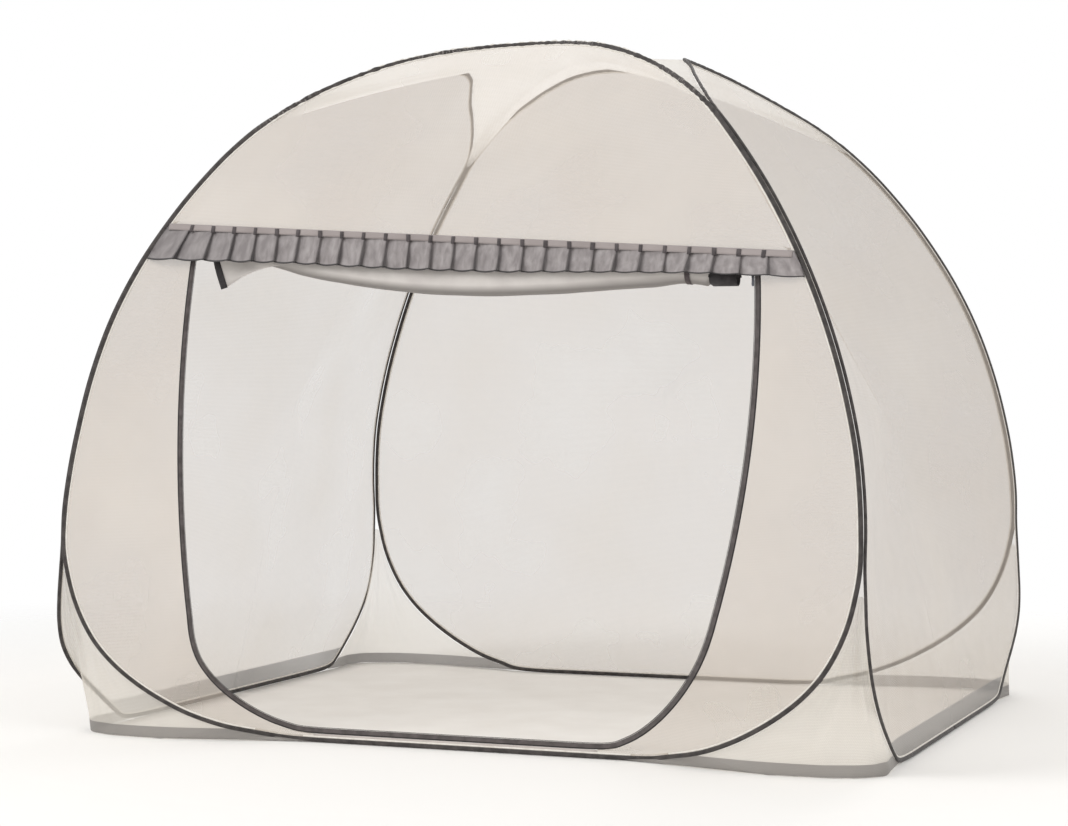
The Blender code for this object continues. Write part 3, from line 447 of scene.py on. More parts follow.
count = len(front_loop)
LEGS = {1: list(range(RUN_END + 2)), -1: [0, *range(count - 1, RUN_END - 1, -1)]}
uppers = {s: cut_at(front_loop[at], front_loop[at], HEADER_HEIGHTS[s], above=True)[0]
          for s, at in LEGS.items()}
header_ends = np.array([uppers[s][-1] - np.array((s * HEADER_INSET, 0.0, 0.0)) for s in (-1, 1)])
arch = np.vstack([uppers[-1][::-1], uppers[1][1:]])
header = along(header_ends, header_ends, walk(arch))
routes = {}
front_target = np.array(front_loop)
for sign in (-1, 1):
    leg = front_loop[LEGS[sign]]
    edge = cut_at(leg[:-1], leg[:-1], ZIP_TOPS[sign], above=False)[0]
    edge = np.vstack([edge, (ZIP_FEET[sign], RUN_Y, TAPE_OUTER)])
    routes[sign] = zip_route(sign, edge)
    opposite = along(routes[sign]["line"], routes[sign]["line"], walk(edge))
    for i in LEGS[sign][:-1]:
        high = i == 0 or front_loop[i][2] > HEADER_HEIGHTS[sign] - HEADER_FLANGE
        beside, held = (arch, header) if high else (edge, opposite)
        front_target[i] = held[np.argmin(np.linalg.norm(beside - front_loop[i], axis=1))]


def flat_on_the_run(side, stations):
    side = np.array(side)
    side[RUN_END] = side[RUN_END + 1] = UP
    return across(side, tangents(stations))


def taut_film(ring, rows, passes=80):
    """Rows of points from a closed edge to the middle, relaxed as a taut net is."""
    middle = ring.mean(0)
    grid = np.array([ring + (middle - ring) * k / rows for k in range(rows)])
    for _ in range(passes):
        inner = np.concatenate([grid[2:], np.broadcast_to(grid[-1].mean(0), grid[:1].shape)])
        beside = np.roll(grid[1:], 1, axis=1) + np.roll(grid[1:], -1, axis=1)
        grid[1:] = (grid[:-1] + inner + beside) / 4
    return grid


def even_round(v, passes=3):
    for _ in range(passes):
        v = unit(v + np.roll(v, 1, axis=0) + np.roll(v, -1, axis=0))
    return v


FILMS = {key: taut_film(LOOPS[key], NET_ROWS) for key in ("right", "back", "left")}
toward_net = across(front_target - front_loop, tangents(front_loop))
SIDES = {"front": flat_on_the_run(toward_net, front_loop)}
for key, film in FILMS.items():
    toward_net = across(film[1] - film[0], tangents(LOOPS[key]))
    SIDES[key] = flat_on_the_run(even_round(toward_net), LOOPS[key])
print("header from", header_ends[0].round(3), "to", header_ends[1].round(3))
print("zip arcs m", [round(float(routes[s]["arc"]["radius"]), 3) for s in (-1, 1)])

# %% [markdown]
# ## Finishes
# Nearly everything on this object is polyester: a knitted net, a woven tape, a plain cloth.
# Each finish starts from that yarn and from how it is knitted or woven. Threads of a fifth of
# a millimetre are too fine for the picture, so each weave is drawn a few times too coarse.
# The patterns read the piece's own "cloth" map, which is in metres. Attributes of the mesh
# mark what changes along a piece: a bound edge, gathers, pleats, a band along the ground.

# %% Shared parts of the finishes
NOISE = (0.3, 0.7)  # between these lie nearly all values of a noise pattern
WAVE_SCALE = 0.31831 / 2  # a rib and the gap beside it take two units of the map


def cloth_map(tree, *per_metre):
    """The piece's own map in metres, times a scale for each direction."""
    flat = add(tree, "UVMap", uv_map="cloth")
    return add(tree, "Mapping", {"Vector": flat, "Scale": (*per_metre, 1.0)})


def toned(tree, pattern, low, high, dark, light):
    """A colour that goes from dark to light while a pattern goes from low to high."""
    share = add(tree, "MapRange", {0: pattern, 1: low, 2: high})
    return add(tree, "Mix", {0: share, 6: linear(dark), 7: linear(light)}, 2, data_type="RGBA")


def marked(tree, colour, key, other, low=0.0, high=1.0):
    """A colour that changes to another while an attribute goes from low to high."""
    mark = add(tree, "Attribute", out="Fac", attribute_name=key)
    share = add(tree, "MapRange", {0: mark, 1: low, 2: high})
    return add(tree, "Mix", {0: share, 6: colour, 7: linear(other)}, 2, data_type="RGBA"), share


def relief(tree, fine, share, broad, strength, distance):
    """A share of a fine pattern laid on a broad one, as a bump."""
    height = add(tree, "Math", {0: fine, 1: share, 2: broad}, operation="MULTIPLY_ADD")
    return add(tree, "Bump", {"Height": height, "Strength": strength, "Distance": distance})


# %% Knitted netting, woven cloths and tapes
def knitted_netting(name, dark, light, open_share, thread_share, hole=0.004, foot="#85817D"):
    """Warp-knitted polyester mesh. Real holes of 1.2 mm are drawn at the size given."""
    made, tree, place = start(name)
    knit = add(tree, "TexBrick", {
        "Vector": cloth_map(tree, 1 / hole, 1 / hole), "Scale": 1.0, "Mortar Size": 0.10,
        "Mortar Smooth": 0.5, "Brick Width": 1.0, "Row Height": 0.85}, "Fac")
    slack = add(tree, "TexNoise", {"Vector": place, "Scale": 2.4, "Detail": 3.0})
    # A grey band edges the net along the ground, and there the net covers more
    colour, band = marked(tree, toned(tree, slack, *NOISE, dark, light), "foot", foot, 0.49, 0.52)
    closer = add(tree, "MapRange", {0: slack, 1: NOISE[0], 2: NOISE[1], 3: 0.86, 4: 1.14})
    cover = add(tree, "MapRange", {0: knit, 3: open_share, 4: thread_share})
    cover = add(tree, "Math", {0: cover, 1: closer}, operation="MULTIPLY")
    cover = add(tree, "Math", {0: band, 1: 0.30, 2: cover}, operation="MULTIPLY_ADD")
    return ended(made, add(tree, "BsdfPrincipled", {
        "Base Color": colour, "Roughness": 0.75, "Sheen Weight": 0.15, "Sheen Roughness": 0.5,
        "Alpha": cover}))


def woven_cloth(name, dark, light, alpha, roughness, thread=0.0011, crease=9.0, depth=0.25,
                through=0.0, under=None):
    """Plain woven polyester. Real threads of 0.2 mm are drawn at 1.1 mm; creases are broad."""
    made, tree, place = start(name)
    grid = cloth_map(tree, 1 / thread, 1 / thread)
    weave = add(tree, "TexChecker", {"Vector": grid, "Scale": 1.0}, "Fac")
    creases = add(tree, "TexNoise", {"Vector": place, "Scale": crease, "Detail": 5.0})
    bump = relief(tree, weave, 0.04, creases, depth, 0.006)
    colour = toned(tree, creases, *NOISE, dark, light)
    if under:
        # The underside of the roll is painted darker: painted shade under the round roll
        colour, _ = marked(tree, colour, "under", under, 0.15, 0.75)
    cloth = add(tree, "BsdfPrincipled", {
        "Base Color": colour, "Roughness": roughness, "Sheen Weight": 0.2, "Alpha": alpha,
        "Normal": bump})
    if through:
        # Thin cloth overhead passes on the light that falls on its other side
        lit = add(tree, "BsdfTranslucent", {"Color": colour, "Normal": bump})
        cloth = add(tree, "MixShader", {0: through, 1: cloth, 2: lit})
    return ended(made, cloth)


def ribbed_tape(name, dark, light, rib=0.0016, edge=None, pale=None):
    """Woven tape. Its cross ribs are 0.3 mm wide, and are drawn at the width given."""
    made, tree, place = start(name)
    ribs = add(tree, "TexWave", {
        "Vector": cloth_map(tree, 1 / rib, 1 / 0.004), "Scale": WAVE_SCALE, "Distortion": 0.4,
        "Detail": 1.0}, "Fac", bands_direction="X")
    worn = add(tree, "TexNoise", {"Vector": place, "Scale": 60.0, "Detail": 4.0})
    colour = toned(tree, worn, 0.35, 0.7, dark, light)
    if pale:
        # Where the tape is gathered, short pale folds show between the dark ones
        drawn = cloth_map(tree, 190.0, 70.0)
        folds = add(tree, "TexNoise", {"Vector": drawn, "Scale": 1.0, "Detail": 2.0})
        gather = add(tree, "Attribute", out="Fac", attribute_name="gather")
        share = add(tree, "MapRange", {0: folds, 1: 0.53, 2: 0.68, 4: 0.75})
        share = add(tree, "Math", {0: gather, 1: share}, operation="MULTIPLY")
        colour = add(tree, "Mix", {0: share, 6: colour, 7: linear(pale)}, 2, data_type="RGBA")
    if edge:
        # The bound edge of the zip tape is woven in the dark yarn
        colour, _ = marked(tree, colour, "edge", edge)
    bump = relief(tree, ribs, 0.35, worn, 0.5, 0.0012)
    return ended(made, add(tree, "BsdfPrincipled", {
        "Base Color": colour, "Roughness": 0.88, "Sheen Weight": 0.12, "Normal": bump}))


def pleated_cloth(name, dark, light, painted_sheen, alpha, thread=0.0013):
    """Thin plain cloth; where pleats lie over each other three layers make it darker, and painted
    shade darkens the folds further.
    """
    made, tree, _ = start(name)
    grid = cloth_map(tree, 1 / thread, 1 / thread)
    weave = add(tree, "TexChecker", {"Vector": grid, "Scale": 1.0}, "Fac")
    drawn = cloth_map(tree, 70.0, 26.0)
    creases = add(tree, "TexNoise", {
        "Vector": drawn, "Scale": 1.0, "Detail": 3.0, "Distortion": 0.3})
    # Where the creases rise the colour turns to a painted sheen
    colour = toned(tree, creases, 0.35, 0.95, light, painted_sheen)
    colour, layers = marked(tree, colour, "layers", dark)
    bump = relief(tree, weave, 0.05, creases, 0.35, 0.003)
    cover = add(tree, "Math", {0: layers, 1: 1 - alpha, 2: alpha}, operation="MULTIPLY_ADD")
    return ended(made, add(tree, "BsdfPrincipled", {
        "Base Color": colour, "Roughness": 0.6, "Sheen Weight": 0.2, "Alpha": cover,
        "Normal": bump}))


def bare_metal(name, code, roughness, grain):
    """A metal with fine marks from drawing, crimping or tumbling."""
    made, tree, place = start(name)
    marks = add(tree, "TexNoise", {"Vector": place, "Scale": grain, "Detail": 4.0})
    bump = add(tree, "Bump", {"Height": marks, "Strength": 0.15, "Distance": 0.0004})
    rough = add(tree, "MapRange", {
        0: marks, 1: NOISE[0], 2: NOISE[1], 3: roughness * 0.8, 4: roughness * 1.3})
    return ended(made, add(tree, "BsdfPrincipled", {
        "Base Color": linear(code), "Metallic": 1.0, "Roughness": rough, "Normal": bump}))


def drawn_yarn(name, code, roughness):
    """Nylon or polyester with a faint grain."""
    made, tree, place = start(name)
    marks = add(tree, "TexNoise", {"Vector": place, "Scale": 400.0, "Detail": 2.0})
    bump = add(tree, "Bump", {"Height": marks, "Strength": 0.1, "Distance": 0.0003})
    return ended(made, add(tree, "BsdfPrincipled", {
        "Base Color": linear(code), "Roughness": roughness, "IOR": 1.53, "Normal": bump}))


# Sheer net of the walls, the closer net of the corners, and the wall net in many layers
NETTING = knitted_netting("knitted polyester netting", "#BBB0A4", "#CFC4B8", 0.41, 0.53)
CORNER_NETTING = knitted_netting("close knitted corner netting", "#D8D2C8", "#E6E0D6", 0.48, 0.60)
# The rolled net's underside takes a painted shade
ROLLED_NETTING = woven_cloth("rolled knitted netting", "#C6C0BC", "#D5D0CB", 1.0, 0.75,
                             0.003, 14.0, 0.3, under="#8A8582")
# Thin brushed cloth that lets light in at the top, and a coated cloth to lie on the floor
ROOF_CLOTH = woven_cloth("brushed polyester roof cloth", "#F9F7F3", "#FFFEFC", 0.86, 0.8,
                         crease=5.0, through=0.55)
SHEET_CLOTH = woven_cloth("coated oxford ground sheet", "#E8E4DE", "#F1EEE9", 1.0, 0.85, crease=6.0)
# Narrow strips: under the zip, over the header, and the net's own edge beyond the tape
SILL_CLOTH = woven_cloth("plain woven sill cloth", "#B9B0AB", "#CCC4BF", 0.9, 0.8)
HEADER_CLOTH = woven_cloth("folded header tape", "#8B8280", "#A19896", 1.0, 0.8)
SEAM_CLOTH = woven_cloth("pale seam edge", "#D9D3CA", "#ECE8E1", 1.0, 0.85, crease=80.0)
# Organza is thin, stiff and a little shiny, and it holds a pleat; the pale tone on its creases is a
# painted sheen
VALANCE_CLOTH = pleated_cloth("pleated polyester organza", "#2C2829", "#837C7C", "#B9B3B2", 0.86)
# Woven tapes, dyed dark: they look matt, with fine ribs across them
BINDING_TAPE = ribbed_tape("charcoal woven binding tape", "#2E2A29", "#4A4543", pale="#A8A29F")
ZIP_TAPE = ribbed_tape("woven zip tape", "#474140", "#5E5756", 0.0014, edge="#1F1C1C")
WOUND_TAPE = ribbed_tape("wound zip tape", "#211E1F", "#3A3637", 0.0014)
TACK_TAPE = ribbed_tape("bar tack stitching", "#3F393A", "#575051", 0.0012)
RIBBON = ribbed_tape("woven tie ribbon", "#4E4647", "#655C5D", 0.0012)
# Polyester thread for the seams, and nylon for the coil of the zip
THREAD = drawn_yarn("polyester sewing thread", "#6B6461", 0.6)
COIL_NYLON = drawn_yarn("moulded nylon zip coil", "#211F20", 0.45)
# Wires of spring steel, crimped steel tubes, and die-cast zinc for sliders, tabs and stops
SPRING_STEEL = bare_metal("tempered spring steel", "#8B8C8F", 0.35, 300.0)
CRIMPED_STEEL = bare_metal("crimped steel tube", "#A3A19D", 0.4, 500.0)
PLATED_ZINC = bare_metal("plated die-cast zinc", "#5B5B5F", 0.32, 700.0)
print("finishes", len(bpy.data.materials))

# %% [markdown]
# ## From points to pieces
# Three small makers serve every piece. One sweeps an outline along a line, as tape is folded
# along a wire. One lays rows of points as a sheet. One sets small shapes along a line with
# Geometry Nodes, for stitches and zip teeth, which would be dull to place by hand.

# %% Mesh makers
def make_piece(name, verts, faces, mat, flat, wrap=(0.0, 0.0), marks=None, turn=True):
    """A mesh object at the origin, with its cloth map in metres and its faces outwards."""
    mesh = bpy.data.meshes.new(name)
    mesh.from_pydata(np.asarray(verts).tolist(), [], [list(map(int, f)) for f in faces])
    mesh.materials.append(mat)
    corner = np.zeros(len(mesh.loops), int)
    mesh.loops.foreach_get("vertex_index", corner)
    where = np.array(flat, float)[corner]
    for polygon in mesh.polygons:
        part = where[polygon.loop_start : polygon.loop_start + polygon.loop_total]
        for k in (0, 1):
            if wrap[k] and np.ptp(part[:, k]) > wrap[k] / 2:
                part[:, k] = np.where(part[:, k] < wrap[k] / 2, part[:, k] + wrap[k], part[:, k])
    layer = mesh.uv_layers.new(name="cloth")
    layer.data.foreach_set("uv", where.astype(np.float32).ravel())
    for key, values in (marks or {}).items():
        attribute = mesh.attributes.new(key, "FLOAT", "POINT")
        attribute.data.foreach_set("value", np.asarray(values, np.float32).ravel())
    if turn:
        work = bmesh.new()
        work.from_mesh(mesh)
        bmesh.ops.remove_doubles(work, verts=work.verts, dist=1e-6)
        bmesh.ops.recalc_face_normals(work, faces=work.faces)
        work.to_mesh(mesh)
        work.free()
    mesh.shade_smooth()
    return linked(name, mesh)


def quads(rows, width, around=False):
    """Faces between rows of points; around closes each row on itself."""
    columns = width if around else width - 1
    i, k = np.meshgrid(np.arange(rows - 1), np.arange(columns), indexing="ij")
    m = (k + 1) % width
    corners = [i * width + k, i * width + m, (i + 1) * width + m, (i + 1) * width + k]
    return np.stack(corners, -1).reshape(-1, 4)


def tube_faces(rows, ring):
    """Faces of a closed ring carried along rows, with a face over each end."""
    ends = [list(range(ring)), list(range((rows - 1) * ring, rows * ring))]
    return quads(rows, ring, True).tolist() + ends


def crossed(rows, columns):
    """Every pair of a row value and a column value, as a cloth map."""
    return np.stack(np.broadcast_arrays(rows[:, None], columns[None]), -1).reshape(-1, 2)


def swept(name, centre, side, outline, mat, closed=True, marks=None):
    """A solid swept along a line; outline points are (towards side, square to side)."""
    t = tangents(centre, closed)
    u = across(side, t)
    n = np.cross(t, u)
    count = len(centre)
    outline = np.array(outline, float)
    if outline.ndim == 2:
        outline = np.broadcast_to(outline, (count, *outline.shape))
    ring = outline.shape[1]
    verts = centre[:, None] + outline[..., :1] * u[:, None] + outline[..., 1:] * n[:, None]
    run, round_at = (np.concatenate([[0], np.cumsum(gaps(v))]) for v in (centre, outline[0]))
    faces = tube_faces(count, ring)
    if closed:
        last = (count - 1) * ring
        faces[-2:] = [(last + k, last + (k + 1) % ring, (k + 1) % ring, k) for k in range(ring)]
    wrap = (run[-1] if closed else 0.0, round_at[-1])
    marks = {k: np.tile(v, count) if len(v) == ring else np.repeat(v, ring)
             for k, v in (marks or {}).items()}
    return make_piece(name, verts.reshape(-1, 3), faces, mat, crossed(run[:-1], round_at[:-1]),
                      wrap, marks)


def laid(name, film, mat, axes, around=False, **more):
    """A sheet through rows of points, mapped flat along two of the three directions."""
    film = np.asarray(film, float)
    points, faces = film.reshape(-1, 3), quads(*film.shape[:2], around)
    return make_piece(name, points, faces, mat, points[:, axes], **more)


def finer(rows, weights, between):
    """Rows read at fine stations along them, with smooth rows between them."""
    fine = np.array([read(weights, r) for r in rows])
    gaps = np.linalg.norm(np.diff(fine, axis=0), axis=2).mean(1)
    spaced = np.stack([np.concatenate([[0], np.cumsum(gaps)]), *np.zeros((2, len(rows)))], 1)
    return read(curve_weights(spaced, between, closed=False), fine)


def plain(obj):
    """Turns an object with modifiers into a plain mesh object."""
    graph = bpy.context.evaluated_depsgraph_get()
    mesh = bpy.data.meshes.new_from_object(obj.evaluated_get(graph))
    obj.modifiers.clear()
    obj.data = mesh
    return obj


def thick(obj, thickness):
    shell = obj.modifiers.new("thickness", "SOLIDIFY")
    shell.thickness = thickness
    shell.offset = 0.0
    return plain(obj)


def joined(objs, name):
    """Several mesh objects as one, each with its own material."""
    with bpy.context.temp_override(active_object=objs[0], selected_editable_objects=objs):
        bpy.ops.object.join()
    objs[0].name = name
    return objs[0]


def cut_part(obj, name, point, normal):
    """A copy of what lies on the side of a plane that its normal points to, closed at the cut."""
    part = linked(name, obj.data.copy())
    work = bmesh.new()
    work.from_mesh(part.data)
    solid = all(len(e.link_faces) == 2 for e in work.edges)
    everything = [*work.verts, *work.edges, *work.faces]
    made = bmesh.ops.bisect_plane(work, geom=everything, plane_co=point, plane_no=normal,
                                  clear_inner=True)
    if solid:
        rim = [e for e in made["geom_cut"] if isinstance(e, bmesh.types.BMEdge) and e.is_boundary]
        bmesh.ops.holes_fill(work, edges=rim, sides=0)
    work.to_mesh(part.data)
    work.free()
    return part


# %% Small shapes along a line
def bead_tree():
    """Rounded beads at an even pitch along a line, each turned to it and to its facing."""
    tree = bpy.data.node_groups.new("beads along a line", "GeometryNodeTree")
    sockets = (("Geometry", "Line"), ("Float", "Pitch"), ("Float", "Long"), ("Float", "Wide"),
               ("Float", "High"), ("Int", "Segments"), ("Int", "Rings"), ("Material", "Finish"))
    for kind, key in sockets:
        tree.interface.new_socket(key, in_out="INPUT", socket_type="NodeSocket" + kind)
    tree.interface.new_socket("Beads", in_out="OUTPUT", socket_type="NodeSocketGeometry")
    given = add(tree, "NodeGroupInput").node.outputs
    curve = add(tree, "GeometryNodeMeshToCurve", {"Mesh": given["Line"]})
    even = add(tree, "GeometryNodeResampleCurve", {"Curve": curve, "Length": given["Pitch"]},
               mode="LENGTH")
    tangent = add(tree, "GeometryNodeInputTangent")
    facing = add(tree, "GeometryNodeInputNamedAttribute", {"Name": "facing"}, "Attribute",
                 data_type="FLOAT_VECTOR")
    turned = {"Primary Axis": tangent, "Secondary Axis": facing}
    turn = add(tree, "FunctionNodeAxesToRotation", turned, primary_axis="X", secondary_axis="Z")
    size = add(tree, "CombineXYZ", {0: given["Long"], 1: given["Wide"], 2: given["High"]})
    ball = add(tree, "GeometryNodeMeshUVSphere",
               {"Segments": given["Segments"], "Rings": given["Rings"], "Radius": 0.5}, "Mesh")
    set_out = add(tree, "GeometryNodeInstanceOnPoints",
                  {"Points": even, "Instance": ball, "Rotation": turn, "Scale": size})
    real = add(tree, "GeometryNodeRealizeInstances", {0: set_out})
    done = add(tree, "GeometryNodeSetMaterial", {"Geometry": real, "Material": given["Finish"]})
    add(tree, "NodeGroupOutput", {"Beads": done})
    return tree


BEADS = bead_tree()


def beads(name, line, facing, finish, pitch, size, closed=True, segments=6, rings=3):
    """Beads of one size along a line, as a plain mesh."""
    mesh = bpy.data.meshes.new(name)
    n = len(line)
    edges = [(k, (k + 1) % n) for k in range(n if closed else n - 1)]
    mesh.from_pydata(np.asarray(line).tolist(), edges, [])
    attribute = mesh.attributes.new("facing", "FLOAT_VECTOR", "POINT")
    attribute.data.foreach_set("vector", np.asarray(facing, np.float32).ravel())
    made = linked(name, mesh)
    modifier = made.modifiers.new("beads", "NODES")
    modifier.node_group = BEADS
    values = {"Pitch": pitch, "Long": size[0], "Wide": size[1], "High": size[2],
              "Segments": segments, "Rings": rings, "Finish": finish}
    for item in BEADS.interface.items_tree:
        if item.name in values:
            modifier[item.identifier] = values[item.name]
    plain(made).data.shade_smooth()
    return made

# %% [markdown]
# ## Wires and binding tape
# Each loop is 3.5 mm spring steel inside a tape folded round it and sewn shut on the edge of
# the net. The tape is swept along the loop with a round back and a flat pair of lips. Beads
# of thread run along both lips, and a pale edge of net shows beyond them. Over the top of
# the front and back loops the tape was gathered as it was sewn: its outline swells and
# shrinks every few millimetres, pale folds show in patches, and the seam's allowance stands
# up behind it as a low ruffle. A bevelled curve carries one section, which it can only make
# larger or smaller; a sweep of points lets every station have a section of its own.

# %% Outline of the tape
FOLD_RADIUS = 0.0037
DARK_LIP = 0.0066
GATHER_FROM, GATHER_OVER = 1.44, 0.06
RUFFLE_HALF = 0.36
RUFFLE_TALL, RUFFLE_UNEVEN, RUFFLE_ROOT, RUFFLE_THIN = 0.0035, 0.0030, 0.0020, 0.0005
SWELL, SWAY, PATCHES_PER_METRE = 0.34, 0.0020, 19
EDGE_SHOW, EDGE_UNEVEN, EDGE_ROOT, EDGE_HALF = 0.0042, 0.0012, 0.001, 0.0006
STITCH_PITCH, STITCH_SIZE = 0.0055, (0.0036, 0.0008, 0.0007)
STITCH_IN, STITCH_OUT = 0.0016, 0.0019
STEPS_GATHERED = 26
GATHERED_STEPS = list(FINE_STEPS)
for k in range(RIB_TOP_AT + 1):
    GATHERED_STEPS[k] = GATHERED_STEPS[-k - 1] = STEPS_GATHERED


def mirrored(half):
    """A whole outline from its half on the positive side of a flat axis."""
    return [(a, -b) for a, b in half] + list(half[::-1])


def tape_outline():
    """Back of the fold round the wire, then the two lips that meet on the net."""
    back = [math.radians(a) for a in range(75, 286, 30)]
    points = [(FOLD_RADIUS * math.cos(a), FOLD_RADIUS * math.sin(a)) for a in back]
    return np.array([*points, *mirrored([(DARK_LIP * 0.7, 0.0022), (DARK_LIP, 0.0016)])])


def smooth_random(seed, count, passes=1):
    values = np.random.RandomState(seed).uniform(-1, 1, count)
    for _ in range(passes):
        values = (np.roll(values, 1) + 2 * values + np.roll(values, -1)) / 4
    return values


def ruffle(key, line, side, seed):
    """The seam's own allowance, which stands up behind the gathered tape."""
    top = np.flatnonzero((np.abs(line[:, 0]) < RUFFLE_HALF) & (line[:, 2] > 1.4))
    top = top[np.argsort(line[top, 0])]
    tall = np.cos(line[top, 0] / RUFFLE_HALF * math.pi / 2) ** 0.5
    uneven = RUFFLE_UNEVEN * smooth_random(seed + 4, len(line))[top]
    tall = FOLD_RADIUS + tall * (RUFFLE_TALL + uneven)
    fold = RUFFLE_TALL * smooth_random(seed + 5, len(line))[top]
    root = np.stack([np.full(len(top), -RUFFLE_ROOT), np.zeros(len(top))], 1)
    strip = np.stack([root, np.stack([-tall, fold], 1)], 1)
    strip = np.concatenate([strip - (0, RUFFLE_THIN), strip[:, ::-1] + (0, RUFFLE_THIN)], 1)
    return swept(f"{key}_ruffle", line[top], side[top], strip, SEAM_CLOTH, closed=False)


def tape_piece(key, seed, share):
    """Binding tape of one loop, with its pale edge and two rows of stitches."""
    weights = loop_weights(key, GATHERED_STEPS)
    line, side = read(weights, LOOPS[key]), read(weights, SIDES[key])
    count = len(line)
    high = np.clip((line[:, 2] - GATHER_FROM) / GATHER_OVER, 0, 1)
    swell = 1 + SWELL * share * high * smooth_random(seed, count)
    sway = SWAY * share * high * smooth_random(seed + 1, count, 2)
    outline = tape_outline() * swell[:, None, None] + sway[:, None, None] * (0, 1)
    patches = np.clip(1.4 * np.sin(line[:, 0] * PATCHES_PER_METRE + 0.6 + seed), 0, 1)
    patches = high * share * patches
    parts = [swept(f"{key}_tape", line, side, outline, BINDING_TAPE, marks={"gather": patches})]
    edges = mirrored([(DARK_LIP - EDGE_ROOT, EDGE_HALF), (DARK_LIP, EDGE_HALF)])
    edges = np.tile(edges, (count, 1, 1))
    uneven = EDGE_UNEVEN * high * smooth_random(seed + 2, count)
    edges[:, 1:3, 0] += (EDGE_SHOW + uneven)[:, None]
    parts.append(swept(f"{key}_edge", line, side, edges, SEAM_CLOTH))
    if key in ("front", "back"):
        parts.append(ruffle(key, line, side, seed))
    t = tangents(line)
    u = across(side, t)
    for face in (-1, 1):
        n = np.cross(t, u) * face
        row = line + u * (DARK_LIP - STITCH_IN) + n * STITCH_OUT
        parts.append(beads(f"{key}_stitches", row, n, THREAD, STITCH_PITCH, STITCH_SIZE))
    return joined(parts, f"{key}_bound_edge")


def circle(radius, sides):
    turn = [2 * math.pi * k / sides for k in range(sides)]
    return [(radius * math.cos(a), radius * math.sin(a)) for a in turn]


wires = {key: swept(f"{key}_wire", line, line.mean(0) - line, circle(WIRE_RADIUS, 8), SPRING_STEEL)
         for key, line in LINES.items()}
tapes = {key: tape_piece(key, 11 * (i + 1), 1.0 if key in ("front", "back") else 0.45)
         for i, key in enumerate(LOOPS)}
for key, tape in tapes.items():
    print(key, "tape faces", len(tape.data.polygons))

# %% [markdown]
# ## Netting, roof and corners
# A taut net has the shape of a soap film across its loop. The film's points are the packed
# part's own, relaxed until each lies midway between its neighbours, and smooth rows are read
# between them. Real net is a single knitted layer, so it is left as one layer here too. A
# grey band edges the side nets and the corner nets along the ground. The roof cloth is thin
# and bright, and lets light through from above. Each corner net also reaches under the last
# rise of its two loops, where the eased feet would leave a gap.

# %% Nets of the back and the two sides
FOOT_BAND = 0.060
WALL_AXES = {"back": [0, 2], "right": [1, 2], "left": [1, 2]}


def wall_net(key, axes):
    stations, side, film = LOOPS[key], SIDES[key], FILMS[key]
    rows = [stations + side * TUCK_REACH, stations + side * OUT_REACH, *film[1:]]
    rows.append(np.broadcast_to(film[-1].mean(0), stations.shape))
    rows = finer(rows, FINE[key], (1, *[6] * NET_ROWS))
    rows[-1] = rows[-1].mean(0)
    foot = 1 - rows[..., 2] / (2 * FOOT_BAND) if key != "back" else np.zeros(rows.shape[:2])
    return laid(f"{key}_netting", rows, NETTING, axes, around=True, marks={"foot": foot})


nets = {key: wall_net(key, axes) for key, axes in WALL_AXES.items()}

# %% Roof cloth inside the tops of the four loops
ROOF_RISE = 0.080


def roof_piece():
    top = list(range(-RIB_TOP_AT, RIB_TOP_AT + 1))
    middle = np.array(TIP[0]) * (0, 0, 1)
    ring = []
    for key, order in (("front", top), ("right", top[::-1]), ("back", top[::-1]), ("left", top)):
        t, points = tangents(LOOPS[key])[order], LOOPS[key][order]
        ring.append(points + across(middle - points, t) * (TAPE_REACH + 3 * CLEARANCE))
    ring = np.vstack(ring)
    film = taut_film(ring, NET_ROWS)
    for k in range(NET_ROWS):
        film[k] += UP * ROOF_RISE * math.sin(math.pi / 2 * k / NET_ROWS)
    rows = [*film, np.broadcast_to(film[-1].mean(0), ring.shape)]
    fine = finer(rows, curve_weights(ring, 6), [6] * NET_ROWS)
    fine[-1] = fine[-1].mean(0)
    return laid("roof_panel", fine, ROOF_CLOTH, [0, 1], around=True)


roof = roof_piece()

# %% Corner gussets between the split feet
GUSSET_FOOT = np.array((*BASE_CORNER, BASE_THICKNESS + 2 * CLEARANCE))
GUSSET_OPENS, GUSSET_FOLD = 0.4, 0.0035
CORNERS = {"front_right": (1, 1, 1), "back_right": (1, -1, 1),
           "back_left": (-1, -1, 1), "front_left": (-1, 1, 1)}


def corner_rows():
    """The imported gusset: rows from the split of the rib down to the ground."""
    front, right = LOOPS["front"], LOOPS["right"]
    last = RUN_END - 2
    tf, ts = tangents(front), tangents(right)
    head = (front[VEE_AT] + right[VEE_AT]) / 2
    reach = TAPE_REACH + 3 * CLEARANCE + NET_THICKNESS / 2
    rows = []
    for i in range(VEE_AT + 1, last + 1):
        share = (i - VEE_AT) / (last - VEE_AT)
        m = head + (GUSSET_FOOT - head) * share
        a = front[i] + across(m - front[i], tf[i]) * reach
        b = right[i] + across(m - right[i], ts[i]) * reach
        if share <= GUSSET_OPENS:
            m = (a + b) / 2 + (m - (a + b) / 2) * share / GUSSET_OPENS
        control = 2 * m - (a + b) / 2
        row = [(1 - t) ** 2 * a + 2 * t * (1 - t) * control + t**2 * b
               for t in np.linspace(0, 1, 7)]
        rows.append(np.array(row))
    rows[-1][1:-1, 2] = GUSSET_FOOT[2]
    return rows


